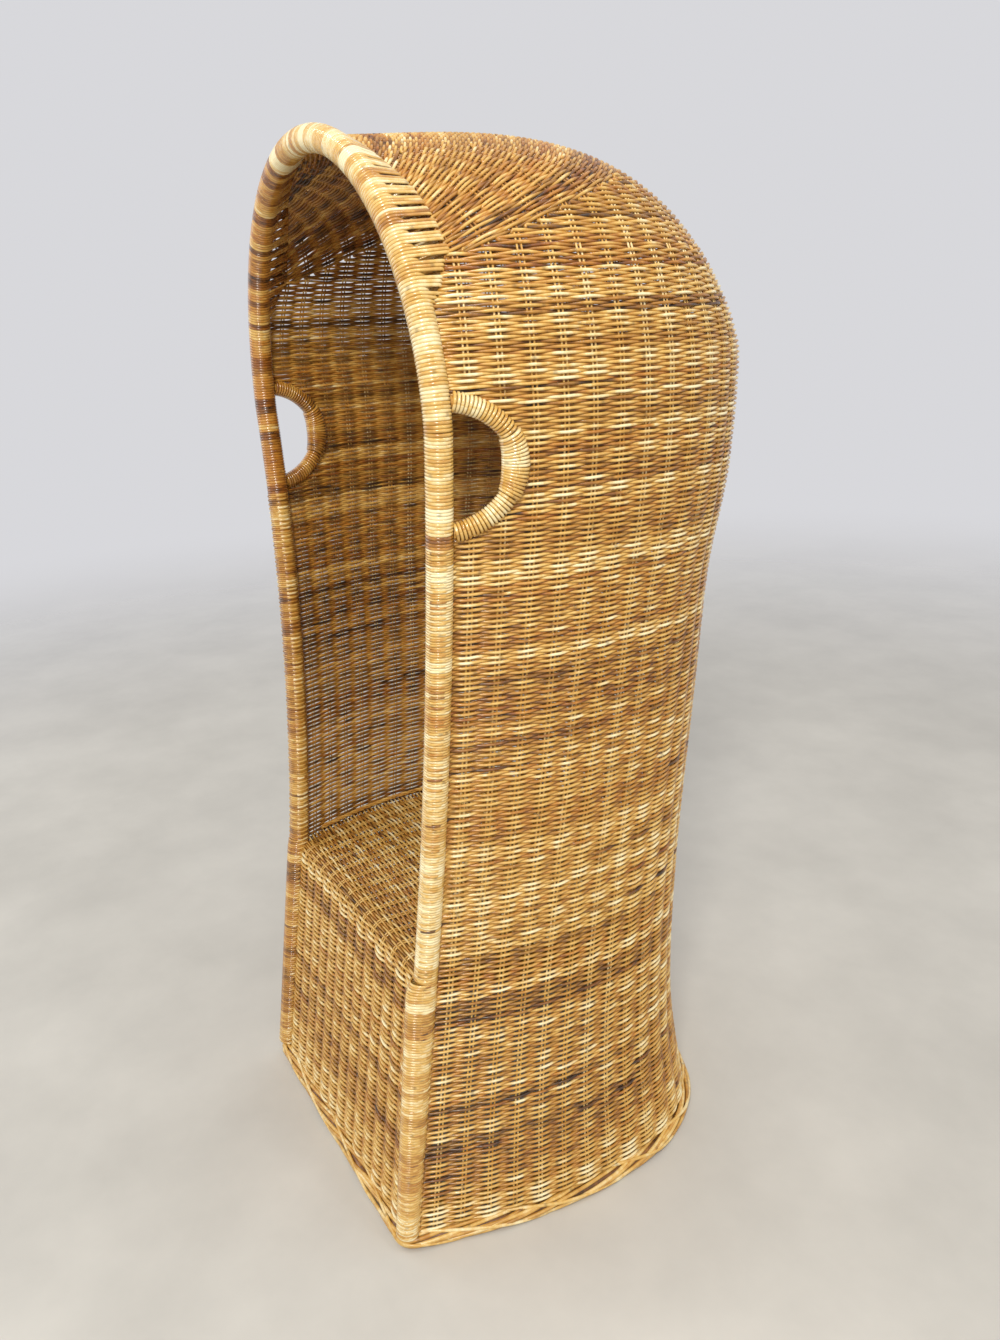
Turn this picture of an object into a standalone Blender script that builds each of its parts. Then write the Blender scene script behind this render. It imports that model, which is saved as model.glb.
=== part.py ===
"""Wicker porter's chair: a cane arch, a woven shell with a hood, and a seat on a hidden frame.

Metres, +Z up, the open front facing -Y. Left and right are as seen from the front.
The shell is described by half sections. A share of 0 lies on the front post and a share
of 1 lies on the centre line of the back. Below the shoulder the sections are level; above
it they tip over to the arch.
"""
import math

import bmesh
import bpy
import numpy as np
from mathutils import Matrix, Vector

# Clearances between neighbouring pieces.
GAP = 0.0003
WEAVE_GAP = 0.0008
MERGE_DISTANCE = 0.00001
SEAM_GAP = 0.0009
BEND_ALLOWANCE = 0.0012

# Front arch: its posts from the floor to the spring, and the bow above them.
SEAT_HEIGHT = 0.4439
ARCH_SPRING_HEIGHT = 1.2014
ARCH_RISE = 0.3508
ARCH_CENTRE_HEIGHT = ARCH_SPRING_HEIGHT + ARCH_RISE
ARCH_HALF_WIDTH = 0.3104
SEAT_WIDTH_SHARE = 0.8296
SEAT_HALF_WIDTH = ARCH_HALF_WIDTH * SEAT_WIDTH_SHARE
FOOT_SPREAD = 0.0085
FOOT_FORWARD = 0.073
SLEEVE_GAP = 0.0013
ARCH_LEAN = 0.0412
ARCH_BOW = 0.028
POST_HOLLOW = 0.0081

# Woven shell: its depth and half width at shares of the shoulder's height.
SHOULDER_RISE_SHARE = 0.1727
SHOULDER_HEIGHT = ARCH_SPRING_HEIGHT + ARCH_RISE * SHOULDER_RISE_SHARE
SHELL_DEPTH = 0.6285
DEPTH_HEIGHT_SHARES = (0.0, 0.1743, 0.3566, 0.5943, 0.7528, 0.8875, 1.0)
DEPTH_SHARES = (0.8643, 0.8226, 0.8474, 0.8947, 0.9219, 0.9827, 1.0)
SHELL_BULGE = 0.0373
SHELL_HALF_WIDTH = ARCH_HALF_WIDTH + SHELL_BULGE
WIDTH_HEIGHT_SHARES = (0.0, 0.3566, 1.0)
WIDTH_SHARES = (0.96, 0.8896, 1.0)
WIDEST_SHARE = 0.44
SIDE_SHARE = 0.35
CORNER_POWER = 2.679
CROWN_BACK_POWER = 3.2759
CROWN_TOP_POWER = 1.1465
CROWN_SWELL = 0.0455
PIVOT_SHARE = 0.012
POST_SHARE = 0.0001

# Weave: its thickness over a stake, the share left between stakes, and the count of stake
# spacings across each panel. The seams lie midway between stakes.
WEAVE_THICKNESS = 0.011
THIN_SHARE = 0.5
SIDE_STAKES = 7.5
CORNER_STAKES = 8
BACK_STAKES = 9
HOOD_SIDE_STAKES = 9.5
SEAT_STAKES = 15
HALF_STAKES = SIDE_STAKES + CORNER_STAKES + BACK_STAKES / 2
SIDE_SEAM_SHARE = SIDE_STAKES / HALF_STAKES
BACK_SEAM_SHARE = (SIDE_STAKES + CORNER_STAKES) / HALF_STAKES
HOOD_SEAM_SHARE = HOOD_SIDE_STAKES / HALF_STAKES

# Front arch and the cane wound round it.
CORE_RADIUS = 0.0146
SLEEVE_THICKNESS = 0.0018
POLE_RADIUS = 0.0173
POLE_SIDES = 10

# Windows beside the posts and their wound rims.
WINDOW_HEIGHT_SHARE = 0.9427
WINDOW_HEIGHT = SEAT_HEIGHT + (ARCH_SPRING_HEIGHT - SEAT_HEIGHT) * WINDOW_HEIGHT_SHARE
WINDOW_HALF_HEIGHT = 0.0785
WINDOW_REACH = 0.097
WINDOW_CUT_DEPTH = 0.033
RIM_CORE_RADIUS = 0.0082
RIM_RADIUS = 0.0130
RIM_SLEEVE_THICKNESS = 0.0042
RIM_SIDES = 10
RIM_ROOT_SHARE = 0.7
WINDING_RADIUS = 0.002
WINDING_TURNS = 13
WINDING_POINTS_PER_TURN = 8
WINDING_SHARES = (0.05, 0.34)
WINDING_TAIL = 0.0042
WINDING_SIDES = 6
MIDDLE_MARGIN_SHARE = 0.03

# Seat, its rounded front edge and the hidden frame under it.
FRONT_RAIL_RADIUS = 0.0175
SEAT_HOOP_RADIUS = 0.010
CROSS_BAR_RADIUS = 0.009
BAR_SINK_SHARE = 0.5
CROSS_BAR_DEPTH_SHARES = (0.2864, 0.4694, 0.6523)
CROSS_BAR_DEPTHS = tuple(SHELL_DEPTH * share for share in CROSS_BAR_DEPTH_SHARES)
LEG_RADIUS = 0.014
LEG_SPREAD_SHARE = 0.612
LEG_SPREAD = ARCH_HALF_WIDTH * LEG_SPREAD_SHARE
SEAT_EDGE_RADIUS = 0.004
SEAT_EDGE_SHARES = (0.06, 0.5)

# Foot: the braided hem and the hoop inside it.
HEM_WIDTH = 0.026
HEM_HEIGHT = 0.024
HEM_CORNER = 0.008
HEM_OUTSET = 0.003
HEM_SINK = 0.006
HEM_FRONT = FOOT_FORWARD * (1 - HEM_HEIGHT / 2 / SEAT_HEIGHT) + HEM_OUTSET + HEM_WIDTH / 2
CENTRE_DEPTH = (SHELL_DEPTH + WEAVE_THICKNESS / 2 - HEM_FRONT) / 2
SLAB_SIZE = 2.0
HOOP_RADIUS = 0.008
HOOP_HEIGHT = 0.045
HOOP_SIDES = 6

# Counts of points along the smooth forms.
SECTION_POINTS = 400
POST_STEPS = 9
FOOT_STEPS = 6
ARCH_STEPS = 22
WALL_ROWS = 8
HOOD_ROWS = 9
HOOD_ROW_POWER = 1.5
RIM_STEPS = 18
HEM_STEPS = 16
SEAT_ROWS = 5
EDGE_STEPS = 3
APRON_ROWS = 2
SEAT_EDGE_STEPS = 9
SEAT_EDGE_SIDES = 8

CANE = (0.66, 0.43, 0.16)
PALE_CANE = (0.78, 0.55, 0.27)
WOOD = (0.55, 0.38, 0.20)
ROUGHNESS = 0.45


def clear_scene():
    """Remove every object of the starting scene."""
    for item in list(bpy.data.objects):
        bpy.data.objects.remove(item, do_unlink=True)


def blend(low, high, t):
    """Value part of the way from low to high."""
    return low + (high - low) * t


def eased(value, places, levels):
    """Read a smooth curve through a table; it never overshoots and it ends level."""
    places = np.asarray(places, float)
    levels = np.asarray(levels, float)
    steps = np.diff(places)
    rises = np.diff(levels) / steps
    before, after = rises[:-1], rises[1:]
    together = before * after > 0
    total = np.where(together, before + after, 1.0)
    inner = np.where(together, 2 * before * after / total, 0.0)
    slopes = np.concatenate([rises[:1], inner, [0.0]])
    value = float(np.clip(value, places[0], places[-1]))
    index = int(np.clip(np.searchsorted(places, value) - 1, 0, len(steps) - 1))
    t = (value - places[index]) / steps[index]
    start = levels[index] * (1 + 2 * t) * (1 - t) ** 2
    end = levels[index + 1] * t * t * (3 - 2 * t)
    leave = slopes[index] * steps[index] * t * (1 - t) ** 2
    arrive = slopes[index + 1] * steps[index] * t * t * (t - 1)
    return start + end + leave + arrive


def post_half_width(height):
    """Half the distance between the centres of the front posts at a height."""
    if height < SEAT_HEIGHT:
        return SEAT_HALF_WIDTH + FOOT_SPREAD * (1 - height / SEAT_HEIGHT)
    if height > ARCH_SPRING_HEIGHT:
        rise = (height - ARCH_SPRING_HEIGHT) / ARCH_RISE
        return ARCH_HALF_WIDTH * math.sqrt(max(0.0, 1 - rise * rise))
    t = (height - SEAT_HEIGHT) / (ARCH_SPRING_HEIGHT - SEAT_HEIGHT)
    return blend(SEAT_HALF_WIDTH, ARCH_HALF_WIDTH, t) - POST_HOLLOW * 4 * t * (1 - t)


def post_depth(height):
    """Depth of the centres of the front posts at a height."""
    if height < SEAT_HEIGHT:
        return -FOOT_FORWARD * (1 - height / SEAT_HEIGHT)
    t = (height - SEAT_HEIGHT) / (ARCH_CENTRE_HEIGHT - SEAT_HEIGHT)
    return ARCH_LEAN * t + ARCH_BOW * 4 * t * (1 - t)


def shell_depth(height):
    """Depth of the middle of the shell's back at a height."""
    return SHELL_DEPTH * eased(height / SHOULDER_HEIGHT, DEPTH_HEIGHT_SHARES, DEPTH_SHARES)


def section(height):
    """Half section of the shell's middle at a height: widths and depths from post to back."""
    depth = shell_depth(height)
    up = height / SHOULDER_HEIGHT
    width = SHELL_HALF_WIDTH * eased(up, WIDTH_HEIGHT_SHARES, WIDTH_SHARES)
    post = post_half_width(height)
    front = post_depth(height)
    widest = WIDEST_SHARE * depth
    u = np.linspace(0, 1, SECTION_POINTS)
    along = np.clip(u / SIDE_SHARE, 0, 1)
    turn = np.clip((u - SIDE_SHARE) / (1 - SIDE_SHARE), 0, 1) * math.pi / 2
    power = 2 / CORNER_POWER
    side = u < SIDE_SHARE
    x = np.where(side, post + (width - post) * np.sin(along * math.pi / 2),
                 width * np.abs(np.cos(turn)) ** power)
    y = np.where(side, front + (widest - front) * along,
                 widest + (depth - widest) * np.sin(turn) ** power)
    return x, y


def section_lengths(height):
    """Distances along a half section, from the post to the centre of the back."""
    x, y = section(height)
    return np.concatenate([[0], np.cumsum(np.hypot(np.diff(x), np.diff(y)))])


def wall_point(share, height, inset=0.0):
    """Point of the shell below the shoulder, moved inward by the inset; share is signed."""
    x, y = section(height)
    lengths = section_lengths(height)
    at = abs(share) * lengths[-1]
    px, py = np.interp(at, lengths, x), np.interp(at, lengths, y)
    if inset:
        step = lengths[-1] / SECTION_POINTS
        low, high = max(0.0, at - step), min(lengths[-1], at + step)
        dx = np.interp(high, lengths, x) - np.interp(low, lengths, x)
        dy = np.interp(high, lengths, y) - np.interp(low, lengths, y)
        size = math.hypot(dx, dy)
        px, py = px - inset * dy / size, py + inset * dx / size
    return Vector((math.copysign(px, share), py, height))


def hood_point(share, tip):
    """Point of the hood; tip runs from 0 at the shoulder to 1 on the arch."""
    wall = wall_point(abs(share), SHOULDER_HEIGHT)
    start = math.asin((SHOULDER_HEIGHT - ARCH_SPRING_HEIGHT) / ARCH_RISE)
    angle = blend(start, math.pi / 2, abs(share))
    arch_x = ARCH_HALF_WIDTH * math.cos(angle)
    arch_z = ARCH_SPRING_HEIGHT + ARCH_RISE * math.sin(angle)
    arch_y = post_depth(arch_z)
    turn = tip * math.pi / 2
    back = max(0.0, math.cos(turn)) ** (2 / CROWN_BACK_POWER)
    top = math.sin(turn) ** (2 / CROWN_TOP_POWER)
    swell = CROWN_SWELL * math.sin(2 * turn) * math.sin(abs(share) * math.pi / 2)
    return Vector((math.copysign(blend(arch_x, wall.x, back), share), blend(arch_y, wall.y, back),
                   blend(SHOULDER_HEIGHT, arch_z, top) + swell))


def settle(point):
    """Move a point so that the chair stands centred over the origin."""
    return Vector((point[0], point[1] - CENTRE_DEPTH, point[2]))


def material(name, colour):
    """Plain finish of one piece."""
    finish = bpy.data.materials.new(name)
    finish.use_nodes = True
    shader = finish.node_tree.nodes["Principled BSDF"]
    shader.inputs["Base Color"].default_value = (*colour, 1)
    shader.inputs["Roughness"].default_value = ROUGHNESS
    return finish


def dress(item, name, colour):
    """Name a piece and give it its own finish."""
    item.name = name
    item.data.name = name
    item.data.materials.clear()
    item.data.materials.append(material(name + "_finish", colour))
    return item


def curve_tube(points, radius, sides, closed=False, capped=True):
    """Round tube along a line of points."""
    data = bpy.data.curves.new("tube", "CURVE")
    data.dimensions = "3D"
    data.bevel_depth = radius
    data.bevel_resolution = (sides - 4) // 2
    data.use_fill_caps = capped
    spline = data.splines.new("POLY")
    spline.points.add(len(points) - 1)
    for spot, point in zip(spline.points, points):
        spot.co = (*settle(point), 1)
    spline.use_cyclic_u = closed
    item = bpy.data.objects.new("tube", data)
    bpy.context.collection.objects.link(item)
    return item


def as_mesh(item):
    """Turn a curve into a mesh object in the same place."""
    bpy.context.view_layer.update()
    graph = bpy.context.evaluated_depsgraph_get()
    mesh = bpy.data.meshes.new_from_object(item.evaluated_get(graph))
    solid = bpy.data.objects.new("solid", mesh)
    solid.matrix_world = item.matrix_world.copy()
    bpy.context.collection.objects.link(solid)
    bpy.data.objects.remove(item, do_unlink=True)
    shape = bmesh.new()
    shape.from_mesh(mesh)
    bmesh.ops.remove_doubles(shape, verts=shape.verts, dist=MERGE_DISTANCE)
    bmesh.ops.recalc_face_normals(shape, faces=shape.faces)
    shape.to_mesh(mesh)
    shape.free()
    return solid


def tube(name, points, radius, sides, colour, closed=False):
    """Named round bar along a line of points."""
    return dress(as_mesh(curve_tube(points, radius, sides, closed)), name, colour)


def sleeve(name, points, radius, thickness, sides, colour):
    """Named hollow tube that fits round a bar."""
    shell = as_mesh(curve_tube(points, radius, sides, capped=False))
    wall = shell.modifiers.new("wall", "SOLIDIFY")
    wall.thickness = thickness
    wall.offset = -1
    wall.use_even_offset = True
    return dress(shell, name, colour)


def cutter(points, radius, sides):
    """Round bar that is only used to cut room in other pieces."""
    item = as_mesh(curve_tube(points, radius, sides))
    return hide_cutter(item)


def hide_cutter(item):
    """Keep a cutting solid out of the finished chair."""
    item.name = "cutter"
    item.hide_render = True
    item.display_type = "WIRE"
    store = bpy.data.collections.get("cutters")
    if store is None:
        store = bpy.data.collections.new("cutters")
        bpy.context.scene.collection.children.link(store)
    for home in list(item.users_collection):
        home.objects.unlink(item)
    store.objects.link(item)
    return item


def cut(item, tool):
    """Take the cutting solid out of a piece."""
    change = item.modifiers.new("cut", "BOOLEAN")
    change.operation = "DIFFERENCE"
    change.solver = "EXACT"
    change.object = tool


def cutting_radius(radius, sides):
    """Radius of a faceted cutter whose flats clear a bar of the given radius."""
    return (radius + GAP) / math.cos(math.pi / sides)


def woven_sheet(name, stakes, first_stake, rows, place, colour):
    """Woven panel: a grid on a smooth surface, thick over each stake and thin between stakes.

    The panel spans a count of stake spacings and starts a part of a spacing past a stake.
    """
    columns = round(stakes * 2)
    bpy.ops.mesh.primitive_grid_add(x_subdivisions=columns, y_subdivisions=rows, size=2)
    item = bpy.context.active_object
    ribs = item.vertex_groups.new(name="stakes")
    for vertex in item.data.vertices:
        across, up = (vertex.co.x + 1) / 2, (vertex.co.y + 1) / 2
        half_spacings = round((across * stakes + first_stake) * 2)
        ribs.add([vertex.index], 1 - half_spacings % 2, "REPLACE")
        vertex.co = settle(place(across, up))
    body = item.modifiers.new("weave", "SOLIDIFY")
    body.thickness = WEAVE_THICKNESS
    body.offset = 0
    body.use_even_offset = True
    body.vertex_group = ribs.name
    body.thickness_vertex_group = THIN_SHARE
    return dress(item, name, colour)


def foot_points(side):
    """Centre line of one post from inside the hem to the seat."""
    heights = np.linspace(HEM_HEIGHT - HEM_SINK, SEAT_HEIGHT, FOOT_STEPS, endpoint=False)
    return [Vector((side * post_half_width(z), post_depth(z), z)) for z in heights]


def upper_points(side):
    """Centre line of one post from the seat to the spring of the arch."""
    heights = np.linspace(SEAT_HEIGHT, ARCH_SPRING_HEIGHT, POST_STEPS, endpoint=False)
    return [Vector((side * post_half_width(z), post_depth(z), z)) for z in heights]


def arch_points():
    """Centre line of the arch between its two springs."""
    points = []
    for angle in np.linspace(0, math.pi, ARCH_STEPS + 1):
        height = ARCH_SPRING_HEIGHT + ARCH_RISE * math.sin(angle)
        points.append(Vector((ARCH_HALF_WIDTH * math.cos(angle), post_depth(height), height)))
    return points


def pole_line():
    """Centre line of the whole front pole, floor to floor."""
    right = foot_points(1) + upper_points(1)
    left = foot_points(-1) + upper_points(-1)
    return right + arch_points() + left[::-1]


def bound_line():
    """Centre line of the part of the pole above the seat."""
    return upper_points(1) + arch_points() + upper_points(-1)[::-1]


def hem_slab():
    """Cutting slab that trims what stands on the hem level with the hem's top."""
    bpy.ops.mesh.primitive_cube_add(size=SLAB_SIZE)
    slab = bpy.context.active_object
    for vertex in slab.data.vertices:
        vertex.co.z += HEM_HEIGHT + GAP - SLAB_SIZE / 2
    return hide_cutter(slab)


def make_front_arch(slab):
    """Bent pole, the cane bound round it above the seat and the weavers round its feet."""
    cut(tube("front_arch", pole_line(), CORE_RADIUS, POLE_SIDES, WOOD), slab)
    sleeve("arch_binding", bound_line(), POLE_RADIUS, SLEEVE_THICKNESS, POLE_SIDES, PALE_CANE)
    for side, word in ((1, "right"), (-1, "left")):
        line = foot_points(side) + [upper_points(side)[0]]
        line[-1] = line[-2].lerp(line[-1], 1 - SLEEVE_GAP / (line[-1] - line[-2]).length)
        cut(sleeve(word + "_foot_binding", line, POLE_RADIUS, SLEEVE_THICKNESS,
                   POLE_SIDES, CANE), slab)


def long_pole_cutter():
    """Cutting bar that follows the wound pole and runs past both of its feet."""
    line = pole_line()
    first = line[0] + (line[0] - line[1])
    last = line[-1] + (line[-1] - line[-2])
    return cutter([first] + line + [last], cutting_radius(POLE_RADIUS, POLE_SIDES), POLE_SIDES)


def window_point(side, angle, outset=0.0):
    """Point on the centre line of a window rim, or outside it by the outset."""
    reach = (WINDOW_REACH + outset) * math.cos(angle)
    height = WINDOW_HEIGHT + (WINDOW_HALF_HEIGHT + outset) * math.sin(angle)
    share = reach / section_lengths(height)[-1]
    return wall_point(math.copysign(max(share, POST_SHARE), side), height)


def rim_line(side, steps=RIM_STEPS, low=0.0, high=1.0):
    """Centre line of a window rim between two shares of its length."""
    start = math.acos(CORE_RADIUS * RIM_ROOT_SHARE / WINDOW_REACH)
    fine = [window_point(side, a) for a in np.linspace(-start, start, SECTION_POINTS)]
    walked = np.cumsum([0] + [(b - a).length for a, b in zip(fine, fine[1:])])
    wanted = np.linspace(low, high, steps + 1) * walked[-1]
    coordinates = [np.interp(wanted, walked, [p[k] for p in fine]) for k in range(3)]
    return [Vector(p) for p in zip(*coordinates)]


def helix(line, radius):
    """Wire wound round a finely stepped line, with a short straight tail at each end."""
    out = (line[1] - line[0]).orthogonal()
    points = []
    for index, centre in enumerate(line):
        before, after = line[max(index - 1, 0)], line[min(index + 1, len(line) - 1)]
        along = (after - before).normalized()
        out = (out - along * out.dot(along)).normalized()
        angle = math.tau * index / WINDING_POINTS_PER_TURN
        points.append(centre + Matrix.Rotation(angle, 3, along) @ out * radius)
    first = (points[0] - points[1]).normalized() * WINDING_TAIL
    last = (points[-1] - points[-2]).normalized() * WINDING_TAIL
    return [points[0] + first] + points + [points[-1] + last]


def least_self_gap(points, radius):
    """Smallest clear distance between different turns of one wound wire."""
    spots = np.array([tuple(p) for p in points])
    apart = np.linalg.norm(spots[:, None] - spots[None], axis=2)
    index = np.arange(len(spots))
    far = np.abs(index[:, None] - index[None]) > WINDING_POINTS_PER_TURN // 2
    return float(apart[far].min() - 2 * radius)


def make_window_rim(side, word, pole):
    """Bent cane of one window, wound openly at both ends and closely in the middle."""
    cut(tube(word + "_window_rim", rim_line(side), RIM_CORE_RADIUS, RIM_SIDES, WOOD), pole)
    low, high = WINDING_SHARES
    start = high + MIDDLE_MARGIN_SHARE
    middle = rim_line(side, RIM_STEPS // 2, start, 1 - start)
    sleeve(word + "_window_middle_binding", middle, RIM_RADIUS, RIM_SLEEVE_THICKNESS,
           RIM_SIDES, PALE_CANE)
    reach = RIM_CORE_RADIUS + GAP + WINDING_RADIUS / math.cos(math.pi / WINDING_POINTS_PER_TURN)
    reach = reach / math.cos(math.pi / WINDING_POINTS_PER_TURN)
    for part, ends in (("lower", (low, high)), ("upper", (1 - high, 1 - low))):
        line = rim_line(side, WINDING_TURNS * WINDING_POINTS_PER_TURN, *ends)
        points = helix(line, reach)
        print(word, part, "window winding clears itself by",
              round(least_self_gap(points, WINDING_RADIUS) * 1000, 2), "mm")
        tube(word + "_window_" + part + "_winding", points, WINDING_RADIUS,
             WINDING_SIDES, PALE_CANE)


def window_cutter(side):
    """Solid that opens a wall for a window and its rim."""
    angles = np.linspace(-math.pi / 2, math.pi / 2, RIM_STEPS + 1)
    rim = cutting_radius(RIM_RADIUS + WEAVE_GAP, RIM_SIDES)
    edge = [window_point(side, angle, rim) for angle in angles]
    ahead = Vector((0, POLE_RADIUS / 2, 0))
    edge = [edge[0] - ahead] + edge + [edge[-1] - ahead]
    data = bpy.data.meshes.new("window")
    shape = bmesh.new()
    ends = []
    depth = Vector((side * WINDOW_CUT_DEPTH, 0, 0))
    for shift in (-depth, depth):
        ends.append([shape.verts.new(settle(p + shift)) for p in edge])
    near, far = ends
    for index in range(len(near)):
        before = index - 1
        shape.faces.new((near[before], near[index], far[index], far[before]))
    for loop in ends:
        bmesh.ops.triangle_fill(shape, use_beauty=True, edges=loop_edges(loop))
    bmesh.ops.recalc_face_normals(shape, faces=shape.faces)
    shape.to_mesh(data)
    shape.free()
    item = bpy.data.objects.new("window", data)
    bpy.context.collection.objects.link(item)
    return hide_cutter(item)


def loop_edges(loop):
    """Edges between neighbouring corners of one closed outline."""
    pairs = zip(loop, loop[1:] + loop[:1])
    return [next(e for e in a.link_edges if e.other_vert(a) is b) for a, b in pairs]


def wall_panel(name, first, last, stakes, first_stake):
    """Upright panel of the wall, from one turn away from the centre line of the back to another."""
    low = HEM_HEIGHT - HEM_SINK
    high = SHOULDER_HEIGHT - SEAM_GAP / 2

    def place(across, up):
        height = blend(low, high, up)
        length = section_lengths(height)[-1]
        return wall_point(signed_share(first, last, across, POST_SHARE, length), height)
    return woven_sheet(name, stakes, first_stake, WALL_ROWS, place, CANE)


def signed_share(first, last, across, least, length):
    """Share at a place between two turns, each drawn in by half the gap between panels."""
    trim = math.copysign(SEAM_GAP / 2 / length, last - first)
    turn = blend(first + trim, last - trim, across)
    return math.copysign(max(1 - abs(turn), least), turn)


def make_walls(pole, slab):
    """Side walls with their windows, the rounded rear corners and the back between them."""
    side_seam, back_seam = 1 - SIDE_SEAM_SHARE, 1 - BACK_SEAM_SHARE
    for side, word in ((1, "right"), (-1, "left")):
        wall = wall_panel(word + "_wall", side, side * side_seam, SIDE_STAKES, 0)
        for tool in (slab, pole, window_cutter(side)):
            cut(wall, tool)
        cut(wall_panel(word + "_rear_corner", side * side_seam, side * back_seam,
                       CORNER_STAKES, SIDE_STAKES), slab)
    start = SIDE_STAKES + CORNER_STAKES
    cut(wall_panel("back_wall", back_seam, -back_seam, BACK_STAKES, start), slab)


def make_hood(pole):
    """Crown of the shell from the shoulder to the arch, in two sides and two halves of the top."""
    seam = 1 - HOOD_SEAM_SHARE
    for side, word in ((1, "right"), (-1, "left")):
        for part, first, last, start in (("side", 1, seam, 0), ("crown", seam, 0, HOOD_SIDE_STAKES)):
            def place(across, up, side=side, first=first, last=last):
                tip = up ** HOOD_ROW_POWER
                length = blend(section_lengths(SHOULDER_HEIGHT)[-1], ARCH_RISE * math.pi / 2, tip)
                share = signed_share(side * first, side * last, across, PIVOT_SHARE, length)
                point = hood_point(share, tip)
                point.z += SEAM_GAP / 2
                return point
            stakes = (first - last) * HALF_STAKES
            panel = woven_sheet(word + "_hood_" + part, stakes, start, HOOD_ROWS, place, CANE)
            cut(panel, pole)


def seat_middle_height():
    """Height of the middle of the seat's weave."""
    return SEAT_HEIGHT - WEAVE_THICKNESS / 2


def front_roll():
    """Radius at which the middle of the weave turns over the front rail."""
    return FRONT_RAIL_RADIUS + WEAVE_GAP + WEAVE_THICKNESS / 2


def seat_place(across, up):
    """Point of the seat and apron: from the hem up the front, over the rail and back."""
    t = across * 2 - 1
    rows = APRON_ROWS + EDGE_STEPS + SEAT_ROWS
    step = round(up * rows)
    roll = front_roll()
    top = seat_middle_height()
    turn_height = top - roll
    if step <= APRON_ROWS:
        height = blend(HEM_HEIGHT - HEM_SINK, turn_height, step / APRON_ROWS)
        return Vector((t * post_half_width(height), post_depth(height), height))
    centre = post_depth(turn_height) + roll
    half_angle = (min(step - APRON_ROWS, EDGE_STEPS) / EDGE_STEPS) * math.pi / 2
    depth = centre - roll * math.cos(half_angle)
    height = turn_height + roll * math.sin(half_angle)
    if step <= APRON_ROWS + EDGE_STEPS:
        half = blend(post_half_width(height), seat_half_width(centre), half_angle / math.pi * 2)
        return Vector((t * half, depth, height))
    along = (step - APRON_ROWS - EDGE_STEPS) / SEAT_ROWS
    return seat_surface(t, along, centre, top)


def seat_inset():
    """Distance from the middle of the wall to the edge of the seat."""
    return WEAVE_THICKNESS / 2 + WEAVE_GAP


def seat_half_width(depth):
    """Half width of the seat at a depth in front of the shell's widest place."""
    x, y = section(seat_middle_height())
    side = y < WIDEST_SHARE * y[-1]
    return float(np.interp(depth, y[side], x[side])) - seat_inset()


def seat_surface(t, along, front, height):
    """Point of the flat seat; its far edge follows the rounded back."""
    widest = WIDEST_SHARE * shell_depth(height)
    reach = shell_depth(height) - seat_inset() - widest
    far = widest + reach * max(0.0, 1 - abs(t) ** CORNER_POWER) ** (1 / CORNER_POWER)
    depth = blend(front, far, along)
    return Vector((t * seat_half_width(min(depth, widest)), depth, height))


def make_seat(pole, slab):
    """Woven seat that turns over the front rail and hangs down as the apron."""
    rows = APRON_ROWS + EDGE_STEPS + SEAT_ROWS
    seat = woven_sheet("seat_and_apron", SEAT_STAKES, 0, rows, seat_place, PALE_CANE)
    for tool in (slab, pole):
        cut(seat, tool)


def make_seat_edges():
    """Binding strips along both sides of the seat, lying in the corner by the wall."""
    height = SEAT_HEIGHT + GAP + SEAT_EDGE_RADIUS
    inset = WEAVE_THICKNESS / 2 + WEAVE_GAP + SEAT_EDGE_RADIUS
    for side, word in ((1, "right"), (-1, "left")):
        shares = np.linspace(SEAT_EDGE_SHARES[0], SEAT_EDGE_SHARES[1], SEAT_EDGE_STEPS)
        line = [wall_point(side * share, height, inset) for share in shares]
        tube(word + "_seat_edge", line, SEAT_EDGE_RADIUS, SEAT_EDGE_SIDES, PALE_CANE)


def rail_height(radius):
    """Height of a bar of the given radius that carries the seat."""
    return SEAT_HEIGHT - WEAVE_THICKNESS - GAP - radius


def make_frame(pole):
    """Hidden frame: front rail, bent seat hoop, cross bars and rear legs."""
    height = seat_middle_height() - front_roll()
    depth = post_depth(height) + front_roll()
    half = post_half_width(height) - WEAVE_THICKNESS / 2 - BEND_ALLOWANCE
    ends = [Vector((side * half, depth, height)) for side in (-1, 1)]
    cut(tube("front_rail", ends, FRONT_RAIL_RADIUS, POLE_SIDES, WOOD), pole)
    hoop = hoop_line(depth)
    tube("seat_hoop", hoop, SEAT_HOOP_RADIUS, HOOP_SIDES, WOOD)
    room = cutter(hoop, cutting_radius(SEAT_HOOP_RADIUS, HOOP_SIDES), HOOP_SIDES)
    level = rail_height(CROSS_BAR_RADIUS)
    for number, place in enumerate(CROSS_BAR_DEPTHS, 1):
        half = bar_reach(hoop, place)
        ends = [Vector((side * half, place, level)) for side in (-1, 1)]
        cut(tube("cross_bar_%d" % number, ends, CROSS_BAR_RADIUS, POLE_SIDES, WOOD), room)
    top = level - CROSS_BAR_RADIUS - GAP
    for side, word in ((1, "right"), (-1, "left")):
        ends = [Vector((side * LEG_SPREAD, CROSS_BAR_DEPTHS[-1], z)) for z in (0, top)]
        tube(word + "_rear_leg", ends, LEG_RADIUS, POLE_SIDES, WOOD)


def hoop_line(front):
    """Centre line of the bent hoop that follows the wall under the seat."""
    height = rail_height(SEAT_HOOP_RADIUS)
    inset = WEAVE_THICKNESS / 2 + BEND_ALLOWANCE + SEAT_HOOP_RADIUS
    start = (front + FRONT_RAIL_RADIUS + GAP) / section_lengths(height)[-1]
    shares = np.linspace(start, 1, HEM_STEPS)
    right = [wall_point(share, height, inset) for share in shares]
    left = [Vector((-p.x, p.y, p.z)) for p in right[:-1]]
    return right + left[::-1]


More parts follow.
